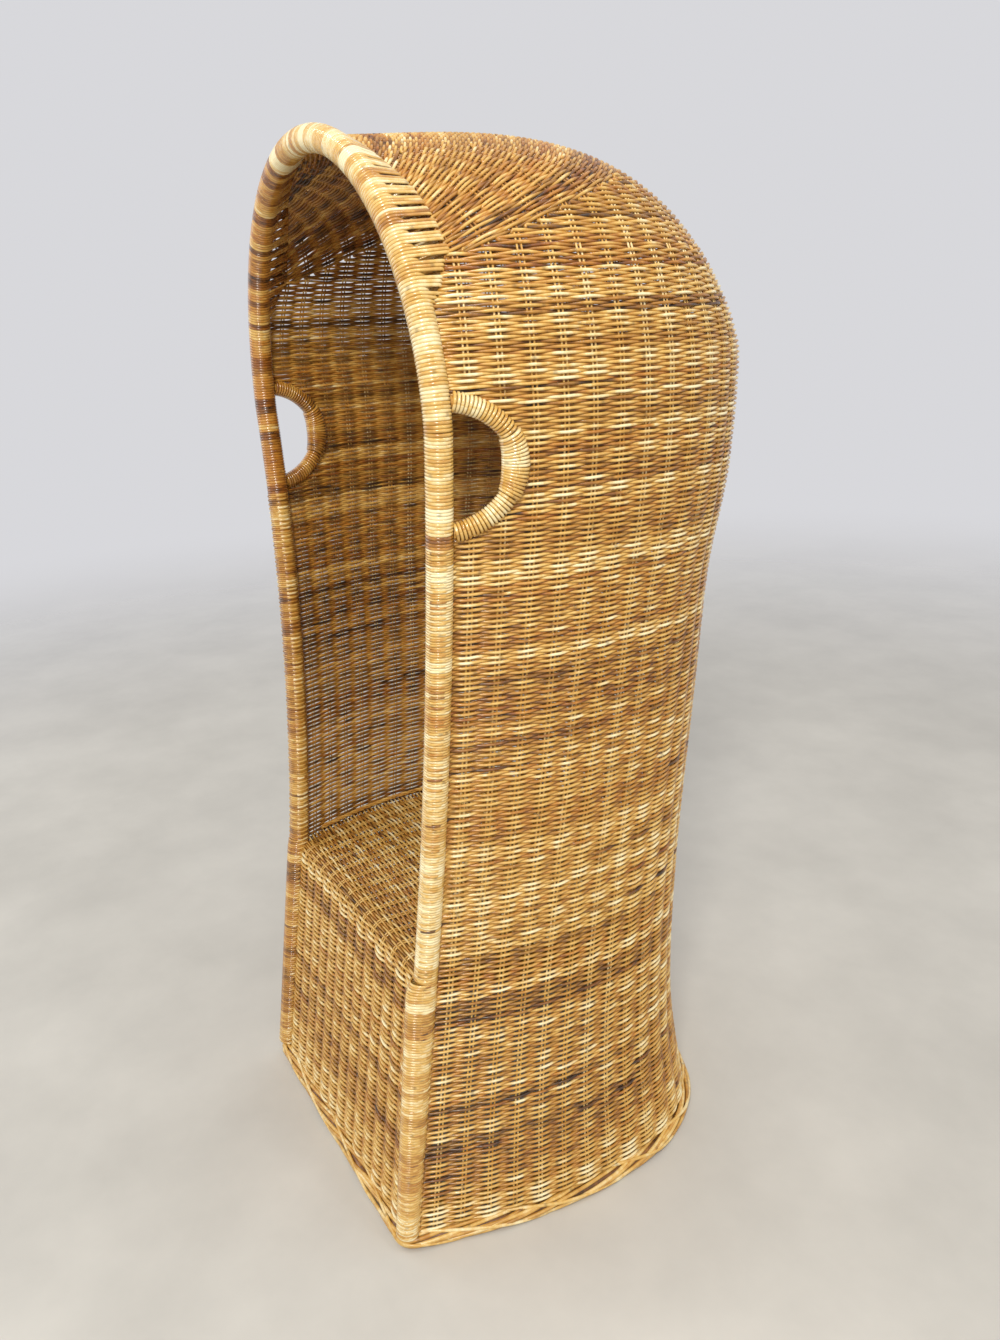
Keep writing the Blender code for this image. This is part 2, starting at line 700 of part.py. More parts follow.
def bar_reach(hoop, depth):
    """Half length of a cross bar that ends against the hoop."""
    half = hoop[:len(hoop) // 2]
    x = np.interp(depth, [p.y for p in half], [p.x for p in half])
    return float(x) - SEAT_HOOP_RADIUS * BAR_SINK_SHARE


def base_outline(height, inset):
    """Closed outline of the foot of the shell, moved inward by the inset."""
    shares = np.linspace(POST_SHARE, 1, HEM_STEPS)
    right = [wall_point(share, height, inset) for share in shares]
    front = post_depth(height) + inset
    half = right[0].x
    corner = [Vector((half * s, front, height)) for s in (-1, -0.5, 0, 0.5, 1)]
    right = [p for p in right if p.y > front + abs(inset) / 2]
    left = [Vector((-p.x, p.y, p.z)) for p in right[:-1]]
    return corner + right + left[::-1]


def hem_profile():
    """Rounded block outline of the hem, flat underneath."""
    data = bpy.data.curves.new("profile", "CURVE")
    data.dimensions = "2D"
    spline = data.splines.new("POLY")
    points = []
    for cx, cy, start in ((1, -1, -90), (1, 1, 0), (-1, 1, 90), (-1, -1, 180)):
        for turn in (0, 90):
            angle = math.radians(start + turn)
            points.append((cx * (HEM_WIDTH / 2 - HEM_CORNER) + HEM_CORNER * math.cos(angle),
                           cy * (HEM_HEIGHT / 2 - HEM_CORNER) + HEM_CORNER * math.sin(angle)))
    spline.points.add(len(points) - 1)
    for spot, (x, y) in zip(spline.points, points):
        spot.co = (x, y, 0, 1)
    spline.use_cyclic_u = True
    item = bpy.data.objects.new("profile", data)
    bpy.context.collection.objects.link(item)
    return item


def make_foot(pole):
    """Braided hem that the chair stands on, and the hoop inside the foot of the shell."""
    path = curve_tube(base_outline(HEM_HEIGHT / 2, -HEM_OUTSET), 0, POLE_SIDES, closed=True)
    profile = hem_profile()
    path.data.bevel_mode = "OBJECT"
    path.data.bevel_object = profile
    path.data.twist_mode = "Z_UP"
    dress(as_mesh(path), "foot_braid", CANE)
    bpy.data.objects.remove(profile, do_unlink=True)
    inset = WEAVE_THICKNESS / 2 + BEND_ALLOWANCE + HOOP_RADIUS
    hoop = tube("base_hoop", base_outline(HOOP_HEIGHT, inset), HOOP_RADIUS,
                HOOP_SIDES, WOOD, closed=True)
    cut(hoop, pole)


def main():
    """Build the chair piece by piece."""
    clear_scene()
    pole = long_pole_cutter()
    slab = hem_slab()
    make_front_arch(slab)
    for side, word in ((1, "right"), (-1, "left")):
        make_window_rim(side, word, pole)
    make_walls(pole, slab)
    make_hood(pole)
    make_seat(pole, slab)
    make_seat_edges()
    make_frame(pole)
    make_foot(pole)


main()
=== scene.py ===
import math

import bpy
import numpy as np
from mathutils import Matrix, Vector


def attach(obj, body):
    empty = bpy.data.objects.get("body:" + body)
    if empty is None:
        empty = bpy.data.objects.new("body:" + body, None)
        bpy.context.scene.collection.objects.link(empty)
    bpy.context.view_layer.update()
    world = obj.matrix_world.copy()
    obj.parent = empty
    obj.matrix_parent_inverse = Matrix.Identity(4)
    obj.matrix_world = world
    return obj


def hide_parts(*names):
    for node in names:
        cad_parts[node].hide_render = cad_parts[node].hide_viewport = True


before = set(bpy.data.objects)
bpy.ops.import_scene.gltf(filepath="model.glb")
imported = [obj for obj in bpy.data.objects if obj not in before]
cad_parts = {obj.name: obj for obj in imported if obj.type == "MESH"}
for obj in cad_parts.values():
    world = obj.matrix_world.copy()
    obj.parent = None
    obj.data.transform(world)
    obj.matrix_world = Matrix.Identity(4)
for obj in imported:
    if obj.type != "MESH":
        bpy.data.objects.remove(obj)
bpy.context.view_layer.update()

bl_info = {
    "name": "Cane Porter's Chair",
    "version": (1, 0, 0),
    "blender": (4, 5, 0),
    "location": "3D View > Sidebar > Porter Chair",
    "description": "Weaves, binds and finishes a hooded cane chair on its packed frame",
    "category": "Object",
}

# Shape of the chair, in metres. Depths are counted from the front posts at the seat; a
# finished piece is moved forward by CENTRE_DEPTH, to where the frame stands.
SEAT_HEIGHT = 0.4439
ARCH_SPRING_HEIGHT = 1.2014
ARCH_RISE = 0.3508
ARCH_TOP_HEIGHT = ARCH_SPRING_HEIGHT + ARCH_RISE
ARCH_HALF_WIDTH = 0.3104
SEAT_HALF_WIDTH = ARCH_HALF_WIDTH * 0.8296
FOOT_SPREAD = 0.0085
FOOT_FORWARD = 0.073
ARCH_LEAN = 0.0412
ARCH_BOW = 0.028
POST_HOLLOW = 0.0081
SHOULDER_SHARE = 0.1727
SHOULDER_HEIGHT = ARCH_SPRING_HEIGHT + ARCH_RISE * SHOULDER_SHARE
HOOD_START = math.asin(SHOULDER_SHARE)  # angle of the arch at which the hood leaves it
SHELL_DEPTH = 0.6285
DEPTH_HEIGHT_SHARES = (0.0, 0.1743, 0.3566, 0.5943, 0.7528, 0.8875, 1.0)
DEPTH_SHARES = (0.8643, 0.8226, 0.8474, 0.8947, 0.9219, 0.9827, 1.0)
SHELL_HALF_WIDTH = ARCH_HALF_WIDTH + 0.0373
WIDTH_HEIGHT_SHARES = (0.0, 0.3566, 1.0)
WIDTH_SHARES = (0.96, 0.8896, 1.0)
WIDEST_SHARE = 0.44
SIDE_SHARE = 0.35
CORNER_POWER = 2.679
CROWN_BACK_POWER = 3.2759
CROWN_TOP_POWER = 1.1465
CROWN_SWELL = 0.0455
WEAVE_THICKNESS = 0.011
CORE_RADIUS = 0.0146
POLE_RADIUS = 0.0173
RING_RADIUS = (CORE_RADIUS + POLE_RADIUS) / 2
TURN_THICKNESS = (POLE_RADIUS - CORE_RADIUS) / 2
WINDOW_HEIGHT = SEAT_HEIGHT + (ARCH_SPRING_HEIGHT - SEAT_HEIGHT) * 0.9427
WINDOW_HALF_HEIGHT = 0.0785
WINDOW_REACH = 0.097
WINDOW_FOOT = WINDOW_HEIGHT - WINDOW_HALF_HEIGHT - 0.013
RIM_CORE_RADIUS = 0.0082
RIM_CLEAR = RIM_CORE_RADIUS * 0.4  # how far outside a rim's line the rows and stakes end
SEAT_GAP = 0.0008
SEAT_MIDDLE = SEAT_HEIGHT - WEAVE_THICKNESS / 2
ROLL_RADIUS = 0.0175 + SEAT_GAP + WEAVE_THICKNESS / 2  # the front rail, a gap, half the weave
APRON_TOP = SEAT_MIDDLE - ROLL_RADIUS
HEM_WIDTH = 0.026
HEM_HEIGHT = 0.024
HEM_OUTSET = 0.003
HEM_FRONT = FOOT_FORWARD * (1 - HEM_HEIGHT / 2 / SEAT_HEIGHT) + HEM_OUTSET + HEM_WIDTH / 2
CENTRE_DEPTH = (SHELL_DEPTH + WEAVE_THICKNESS / 2 - HEM_FRONT) / 2

# Above the pivot the rows fan out from a line of knuckles behind the arch. For angles of the
# arch in degrees: how far behind it the knuckle lies, and the tilt of the row in degrees.
PIVOT_HEIGHT = 1.399
FAN_ANGLES = (32, 35, 39, 42, 46, 51, 55, 60, 67, 75, 86)
FAN_REACHES = (0.053, 0.050, 0.050, 0.048, 0.045, 0.040, 0.035, 0.031, 0.028, 0.026, 0.024)
FAN_TILTS = (20, 24, 29, 32, 35.5, 38.5, 41.5, 46, 52, 60, 68)
# Heights at which the binding's tails reach back to the knuckles, and how far.
TAIL_HEIGHTS = (1.32, 1.35, 1.377) + tuple(
    ARCH_SPRING_HEIGHT + ARCH_RISE * math.sin(math.radians(angle)) for angle in FAN_ANGLES)
TAIL_REACHES = (0.0, 0.028, 0.042) + FAN_REACHES
FAN_PITCH = 0.0040
FAN_LEAST = 0.0036  # where rows come closer than this, some pairs stop and the rest close in
CURVES_BETWEEN = 24  # curves worked out between two of the fan's angles
LEVEL_CURVES = 90
HIGHEST_LEVEL = 1.545
CROWN_COLUMNS = 201

# Weave. A row has a corner at each of STEPS between two stakes.
POST_POINTS = 400
STRAND_SIDES = 6
RING = np.arange(STRAND_SIDES) * math.tau / STRAND_SIDES
MARKS = ("tone", "warm", "along", "strand")  # what the finishes read at each corner
MAP_MARGIN = 0.04
CAP_MAP_WIDTH = 0.0004
INTERVALS = 20  # spaces between stakes from a post to the middle of the back
SEAT_INTERVALS = 14
STEPS = (0.0, 0.22, 0.5, 0.78)
THICK_SHARE = 0.62  # half thickness of a weaver for its width: full enough to hide the light
UNEVENNESS = 0.00015
FAN_SWAY_SHARE = 0.75
SEAT_SWAY_SHARE = 1.25
APRON_WIDE_SHARE = 0.43
SEAT_WIDE_SHARE = 0.45
SEAT_PITCH = 0.0039
APRON_POINTS = 60
# Cord along each side of the seat: how high above it and how far inside the wall it lies,
# how far its strands wind round each other and over what length, and a strand's radius.
CORD_RISE = 0.0048
CORD_INSET = 0.0049
CORD_REACH = 0.0021
CORD_TWIST = 0.042
CORD_STRAND_RADIUS = 0.0019
POST_TURN = np.radians(np.linspace(50, -14, 6))[:, None]  # a row's way round a post
# Distance between level rows by height.
PITCH_HEIGHTS = (0.0, 0.38, 0.53, 0.73, 0.92, 1.07, 1.2, 1.4)
PITCHES = (0.0042, 0.0041, 0.0039, 0.0037, 0.0035, 0.0034, 0.00345, 0.0037)
WALL_LEVELS = (0.0, 0.3, 0.58, 0.86, 1.06, SHOULDER_HEIGHT)  # where one piece of wall ends

# Tones run from 0, nearly black, to 1, straw; warmth from 0, golden, to 1, reddish.
SEED = 11
BAND_HEIGHTS = (0.02, 0.12, 0.2, 0.27, 0.335, 0.36, 0.41, 0.45, 0.52, 0.57, 0.63, 0.68, 0.73,
                0.78, 0.84, 0.9, 0.97, 1.03, 1.06, 1.1, 1.16, 1.25, 1.35, 1.45)
BAND_SHIFTS = (0.08, 0.0, -0.05, 0.05, 0.0, -0.08, 0.0, -0.07, 0.03, 0.06, -0.03, -0.09, 0.05,
               0.0, -0.1, 0.05, -0.08, 0.08, -0.08, 0.08, 0.08, 0.05, 0.05, 0.02)
STREAK_CHANCE = 0.035
STREAK_SHIFT = -0.38
# Painted shade: how much darker a row is drawn where it passes on the inner side of the stakes.
INNER_PAINTED_SHADE = 0.42
FAN_DARKER = -0.02
STAKE_TONES = (0.58, 0.82)
FAN_STAKE_TONE = 0.3
SEAT_STAKE_TONE = 0.62
STAKE_WARMTH = 0.3

# Post turns: the near post is lighter by height than the rows, the far one darker, and below
# the seat the turns stand forward of the pole where the ends of the seat's cane lie.
NEAR_TONE_HEIGHTS = (0.1, 0.42, 0.46)
NEAR_TONE_SHIFTS = (-0.02, 0.03, 0.12)
FAR_TONE_SHIFT = -0.2
CORNER_HEIGHTS = (0.02, 0.1, 0.4, 0.425, SEAT_HEIGHT, SEAT_HEIGHT + 0.002)
CORNER_REACHES = (0.0, 0.003, 0.011, 0.012, 0.007, 0.0)
FAR_CORNER_SHARE = 0.3
TAIL_END_RADIUS = 0.005

# Window rims, by part: the end of its CAD name, from and to which share of the rim, distance
# between turns, half thickness and half width of a turn, and how much fuller it is inside.
RIM_PARTS = (("lower", "winding", 0.03, 0.345, 0.0046, 0.0024, 0.0022, 0.0),
             ("upper", "winding", 0.655, 0.97, 0.0046, 0.0024, 0.0022, 0.0),
             ("middle", "binding", 0.348, 0.652, 0.0041, 0.0036, 0.0023, 0.5))
# Tone of the turns on the right rim and on the left one, which lies in the shade.
RIM_TONES = {1: 0.74, -1: 0.42}

# Fibres are 1.1 mm apart, drawn coarser than the real ones so that they show. Mottling is
# 42 mm long, the pole's grain 2 mm wide and 21 mm long, and leaves left a ring each 210 mm.
FIBRES_TO_THE_METRE = 900.0
MOTTLES_TO_THE_METRE = 24.0
GRAIN_TO_THE_METRE = (480, 480, 48)
LEAF_RING_DISTANCE = 0.21
# Cane finishes: name, roughness, strength of the clear coat, and how much paler than its tone.
CANE_FINISHES = {
    # Round cane with its skin, brushed with varnish: satin, with a soft light on each row.
    "weaver": ("varnished_round_cane", 0.36, 0.35, 0.0),
    # Thin peeled cane: paler and duller than the rows that cross it.
    "stake": ("pale_stake_cane", 0.42, 0.2, 0.05),
    # Split cane, wound skin outwards under thick varnish: small sharp lights on every turn.
    "binding": ("glossy_binding_cane", 0.2, 0.9, 0.0),
}
FINISHES = {}

WALLS = ("left_wall", "right_wall", "left_rear_corner", "right_rear_corner", "back_wall")
HOOD_NODES = ("left_hood_side", "right_hood_side", "left_hood_crown", "right_hood_crown")
SIDES = ((1, "right"), (-1, "left"))
UP = np.array([0.0, 0.0, 1.0])
BACK = np.array([0.0, 1.0, 0.0])

# Stage: the camera's place, yaw, pitch and roll in degrees, and its focal length in pixels of
# a picture 1000 pixels wide; then each lamp's name, place, size, power and colour.
EYE = (1.37449, -0.49087 - CENTRE_DEPTH, 1.31697)
EYE_ANGLES = (60.23644, 18.91485, 3.00518)
FOCAL_LENGTH = 1009.77
PICTURE_WIDTH = 1000
SENSOR_WIDTH = 36
AIM = (0, 0, 0.8)
AIR_STRENGTH = 0.78
FLOOR_RADIUS = 7
LAMPS = (("key", (2.6, -1.9, 3.4), 0.8, 108, (1.0, 0.985, 0.95)),
         ("gloss", (1.5, 0.4, 3.2), 0.3, 9, (1.0, 1.0, 1.0)),
         ("fill", (-2.4, -2.2, 2.2), 2.0, 18, (0.96, 0.98, 1.0)))


# Reading smooth shapes

def unit(vectors):
    """Vectors at length one."""
    return vectors / np.maximum(np.linalg.norm(vectors, axis=-1, keepdims=True), 1e-12)


def across(vectors, run):
    """What is left of vectors straight across a direction, at length one."""
    return unit(vectors - run * (vectors * run).sum(-1, keepdims=True))


def mirrored(values):
    """The same points on the other side of the chair."""
    return values * np.array([-1, 1, 1])


def both_sides(half):
    """The whole of a row from its right half, which ends on the chair's middle line."""
    left = half[::-1][1:]
    return np.concatenate([half, mirrored(left) if half.ndim > 1 else left])


def walked_along(line):
    """Distance walked at each point of a line."""
    return np.concatenate([[0], np.cumsum(np.linalg.norm(np.diff(line, axis=0), axis=1))])


def along_line(line, walked, at):
    """Points of a line at distances along it."""
    return np.stack([np.interp(at, walked, column) for column in line.T], -1)


def last_run(free):
    """Where the unbroken run of true values begins that reaches the end."""
    return len(free) - int(np.argmin(np.append(free[::-1], False)))


def falling(places):
    """Places made to fall steadily, so that they can be read either way."""
    return np.minimum.accumulate(places - np.arange(len(places)) * 1e-6)


def eased(value, places, levels):
    """Read a smooth curve through a table; it never overshoots and it ends level."""
    places, levels = np.asarray(places), np.asarray(levels)
    steps = np.diff(places)
    rises = np.diff(levels) / steps
    before, after = rises[:-1], rises[1:]
    together = before * after > 0
    total = np.where(together, before + after, 1.0)
    inner = np.where(together, 2 * before * after / total, 0.0)
    slopes = np.concatenate([rises[:1], inner, [0.0]])
    value = float(np.clip(value, places[0], places[-1]))
    index = int(np.clip(np.searchsorted(places, value) - 1, 0, len(steps) - 1))
    t = (value - places[index]) / steps[index]
    return (levels[index] * (1 + 2 * t) * (1 - t) ** 2
            + levels[index + 1] * t * t * (3 - 2 * t)
            + slopes[index] * steps[index] * t * (1 - t) ** 2
            + slopes[index + 1] * steps[index] * t * t * (t - 1))


# Shape of the chair

def post_half_width(height):
    """Half the distance between the centres of the front posts."""
    z = np.asarray(height, float)
    t = (z - SEAT_HEIGHT) / (ARCH_SPRING_HEIGHT - SEAT_HEIGHT)
    middle = (SEAT_HALF_WIDTH + (ARCH_HALF_WIDTH - SEAT_HALF_WIDTH) * t
              - POST_HOLLOW * 4 * t * (1 - t))
    foot = SEAT_HALF_WIDTH + FOOT_SPREAD * (1 - z / SEAT_HEIGHT)
    rise = (z - ARCH_SPRING_HEIGHT) / ARCH_RISE
    bow = ARCH_HALF_WIDTH * np.sqrt(np.clip(1 - rise * rise, 0, 1))
    return np.where(z < SEAT_HEIGHT, foot, np.where(z > ARCH_SPRING_HEIGHT, bow, middle))


def post_depth(height):
    """Depth of the centres of the front posts, and of the arch above them."""
    z = np.asarray(height, float)
    t = (z - SEAT_HEIGHT) / (ARCH_TOP_HEIGHT - SEAT_HEIGHT)
    upper = ARCH_LEAN * t + ARCH_BOW * 4 * t * (1 - t)
    return np.where(z < SEAT_HEIGHT, -FOOT_FORWARD * (1 - z / SEAT_HEIGHT), upper)


def post_point(height):
    """Centre of the right post at a height."""
    z = np.asarray(height, float)
    return np.stack([post_half_width(z), post_depth(z), z], -1)


def pole_line(low):
    """Centre line of the right post from a height up, over the top, and down the left one."""
    heights = np.linspace(low, ARCH_SPRING_HEIGHT, POST_POINTS)
    angles = np.linspace(0, math.pi, 500)
    z = ARCH_SPRING_HEIGHT + ARCH_RISE * np.sin(angles)
    bow = np.stack([ARCH_HALF_WIDTH * np.cos(angles), post_depth(z), z], 1)
    right = post_point(heights)
    return np.concatenate([right[:-1], bow, mirrored(right)[::-1][1:]])


ARCH_LINE = pole_line(SEAT_HEIGHT - 0.004)
RIGHT_ARCH_LINE = ARCH_LINE[:len(ARCH_LINE) // 2 + 1]


def shell_depth(height):
    """Depth of the middle of the shell's back at a height."""
    return SHELL_DEPTH * eased(height / SHOULDER_HEIGHT, DEPTH_HEIGHT_SHARES, DEPTH_SHARES)


def half_section(height, shares):
    """Right half of the level section of the shell, read at shares of its length."""
    depth = shell_depth(height)
    width = SHELL_HALF_WIDTH * eased(height / SHOULDER_HEIGHT, WIDTH_HEIGHT_SHARES, WIDTH_SHARES)
    post, front = float(post_half_width(height)), float(post_depth(height))
    widest = WIDEST_SHARE * depth
    u = np.linspace(0, 1, 900)
    along = np.clip(u / SIDE_SHARE, 0, 1)
    turn = np.clip((u - SIDE_SHARE) / (1 - SIDE_SHARE), 0, 1) * math.pi / 2
    power = 2 / CORNER_POWER
    x = np.where(u < SIDE_SHARE, post + (width - post) * np.sin(along * math.pi / 2),
                 width * np.abs(np.cos(turn)) ** power)
    y = np.where(u < SIDE_SHARE, front + (widest - front) * along,
                 widest + (depth - widest) * np.sin(turn) ** power)
    line = np.stack([x, y, np.full(len(u), height)], 1)
    walked = walked_along(line)
    return along_line(line, walked, shares * walked[-1])


def hood_lines(shares, tips):
    """Points of the right half of the hood; tip runs from 0 at the shoulder to 1 on the arch."""
    wall = half_section(SHOULDER_HEIGHT, shares)[:, None]
    angle = (HOOD_START + (math.pi / 2 - HOOD_START) * shares)[:, None]
    arch_z = ARCH_SPRING_HEIGHT + ARCH_RISE * np.sin(angle)
    arch_x, arch_y = ARCH_HALF_WIDTH * np.cos(angle), post_depth(arch_z)
    turn = tips * math.pi / 2
    back = np.clip(np.cos(turn), 0, 1) ** (2 / CROWN_BACK_POWER)
    top = np.sin(turn) ** (2 / CROWN_TOP_POWER)
    swell = CROWN_SWELL * np.sin(2 * turn) * np.sin(shares * math.pi / 2)[:, None]
    return np.stack([arch_x + (wall[..., 0] - arch_x) * back,
                     arch_y + (wall[..., 1] - arch_y) * back,
                     SHOULDER_HEIGHT + (arch_z - SHOULDER_HEIGHT) * top + swell], 2)


class Sheet:
    """Smooth surface read between the lines of a table of points."""

    def __init__(self, columns, rows, points):
        self.columns, self.rows, self.points = columns, rows, points
        self.outward = unit(np.cross(np.gradient(points, columns, axis=0),
                                     np.gradient(points, rows, axis=1)))

    def read(self, table, column, row):
        """Value of a table between its lines."""
        column, row = np.broadcast_arrays(column, row)
        a, b = (np.minimum(np.interp(value, lines, np.arange(len(lines))), len(lines) - 1.0001)
                for value, lines in ((column, self.columns), (row, self.rows)))
        i, j = a.astype(int), b.astype(int)
        p, q = (a - i)[..., None], (b - j)[..., None]
        return ((table[i, j] * (1 - p) + table[i + 1, j] * p) * (1 - q)
                + (table[i, j + 1] * (1 - p) + table[i + 1, j + 1] * p) * q)

    def place(self, column, row):
        """Points of the surface."""
        return self.read(self.points, column, row)

    def out(self, column, row):
        """Directions straight out of the surface."""
        return unit(self.read(self.outward, column, row))


SHARES = np.linspace(0, 1, 241)
WALL_HEIGHTS = np.linspace(0, SHOULDER_HEIGHT, 241)
WALL = Sheet(SHARES, WALL_HEIGHTS, np.stack([half_section(z, SHARES) for z in WALL_HEIGHTS], 1))
HOOD_SHARES = np.linspace(0.004, 1, 241)
HOOD_TIPS = np.linspace(0, 1, 241) ** 1.5
HOOD = Sheet(HOOD_SHARES, HOOD_TIPS, hood_lines(HOOD_SHARES, HOOD_TIPS))


def wall_length(height):
    """Length of half a level row, from the post to the middle of the back."""
    return walked_along(WALL.place(SHARES, min(height, SHOULDER_HEIGHT)))[-1]


def hood_line(angle):
    """Line over the hood, from the arch at one of its angles back down to the shoulder."""
    share = (angle - HOOD_START) / (math.pi / 2 - HOOD_START)
    return HOOD.place(share, HOOD_TIPS)[::-1]


def window_start(height):
    """Share at which a row starts behind a window rim, or 0 where there is no window."""
    up = (height - WINDOW_HEIGHT) / (WINDOW_HALF_HEIGHT + RIM_CLEAR)
    if abs(up) >= 1:
        return 0.0
    return (WINDOW_REACH + RIM_CLEAR) * math.sqrt(1 - up * up) / wall_length(height)


# Rows of the hood: curves in which planes cut it

def above(points, plane):
    """How far points lie above a plane given by a depth, a height and a tilt."""
    depth, height, tilt = plane
    return (points[..., 2] - height) * math.cos(tilt) - (points[..., 1] - depth) * math.sin(tilt)


def hood_curve(plane):
    """Curve in which a plane cuts the hood, from the hood's middle line to the arch."""
    grid = HOOD.points
    away = above(grid, plane)
    first = (away >= 0).argmax(1)
    start = last_run((first > 0) & (away.max(1) >= 0))
    index = np.arange(len(grid) - 1, start - 1, -1)
    low, high = away[index, first[index] - 1], away[index, first[index]]
    part = (-low / (high - low))[:, None]
    line = grid[index, first[index] - 1] * (1 - part) + grid[index, first[index]] * part
    if start:
        low, high = away[start - 1, -1], away[start, -1]
        part = -low / (high - low)
        end = grid[start - 1, -1] * (1 - part) + grid[start, -1] * part
        line = np.concatenate([line, end[None]])
    return line


def carried_over(points, line, places):
    """Stake places that points take over from the nearest points of a line with places."""
    start, run = line[:-1], np.diff(line, axis=0)
    most = np.ones(len(run))
    most[-1] = 1e3  # points past the line's end count on from its last stretch
    part = ((points[:, None] - start) * run).sum(2) / np.maximum((run * run).sum(1), 1e-12)
    part = np.clip(part, 0, most)
    near = start + part[..., None] * run
    index = np.linalg.norm(points[:, None] - near, axis=2).argmin(1)
    part = part[np.arange(len(points)), index]
    return falling(places[index] * (1 - part) + places[index + 1] * part)


class Family:
    """Curves in which planes cut the hood, read by stake place and by number of the curve.

    Stakes cross the curves squarely, so places are handed on from each curve to the next.
    """

    def __init__(self, planes, first_places):
        self.columns = np.linspace(0, INTERVALS, CROWN_COLUMNS)
        self.levels = np.arange(len(planes), dtype=float)
        ends, curves, curve, place = [], [], None, None
        for plane in planes:
            before, curve = curve, hood_curve(plane)
            place = first_places(curve) if before is None else carried_over(curve, before, place)
            inner = along_line(curve[::-1], place[::-1], self.columns)
            back = min(4, len(curve))
            run = (curve[-1] - curve[-back]) / max(place[-back] - place[-1], 1e-3)
            past = np.clip(place[-1] - self.columns, 0, None)[:, None]
            curves.append(inner + run * past)
            ends.append(place[-1])
        self.ends = np.array(ends)
        self.sheet = Sheet(self.columns, self.levels, np.stack(curves, 1))

    def row_levels(self, first, last, pitch):
        """Levels of an even number of rows that lie a pitch apart on the hood's middle line."""
        fine = np.linspace(first, last, 400)
        walked = walked_along(self.sheet.place(INTERVALS, fine))
        count = int(walked[-1] / pitch)
        levels = np.interp((np.arange(count) + 0.5) * walked[-1] / count, walked, fine)
        return levels[:count // 2 * 2]

    def gaps(self, levels):
        """Distance from each row to the next, at all the columns."""
        points = self.sheet.place(self.columns, levels[:, None])
        run, step = unit(np.gradient(points, axis=1)), np.gradient(points, axis=0)
        return np.linalg.norm(step - (step * run).sum(2, keepdims=True) * run, axis=2)


def fan_planes():
    """Planes of the fan, each through a knuckle behind the arch: its depth, height and tilt."""
    steps = np.arange(CURVES_BETWEEN * (len(FAN_ANGLES) - 1) + 1) / CURVES_BETWEEN
    planes = []
    for angle, reach, tilt in zip(*(np.interp(steps, np.arange(len(table)), table)
                                    for table in (FAN_ANGLES, FAN_REACHES, FAN_TILTS))):
        line = hood_line(math.radians(angle))
        knuckle = along_line(line, walked_along(line), reach)
        planes.append((knuckle[1], knuckle[2], math.radians(tilt)))
    return planes


def wall_places(curve):
    """Stake places on the shoulder, where the hood carries on from the wall."""
    wall = half_section(SHOULDER_HEIGHT, SHARES)[::-1]
    return carried_over(curve, wall, SHARES[::-1] * INTERVALS)


LEVEL_HEIGHTS = np.linspace(SHOULDER_HEIGHT + 0.0005, HIGHEST_LEVEL, LEVEL_CURVES)
LEVELS = Family([(0.0, z, 0.0) for z in LEVEL_HEIGHTS], wall_places)


def mitre_places(curve):
    """Stake places on the lowest curve of the fan, taken over from the level curves."""
    columns = LEVELS.columns[::-1]
    levels = np.interp(curve[:, 2], LEVEL_HEIGHTS, LEVELS.levels)
    return falling(np.array([
        carried_over(point[None], LEVELS.sheet.place(columns, level), columns)[0]
        for point, level in zip(curve, levels)]))


FAN_PLANES = fan_planes()
FAN = Family(FAN_PLANES, mitre_places)


# Making strands

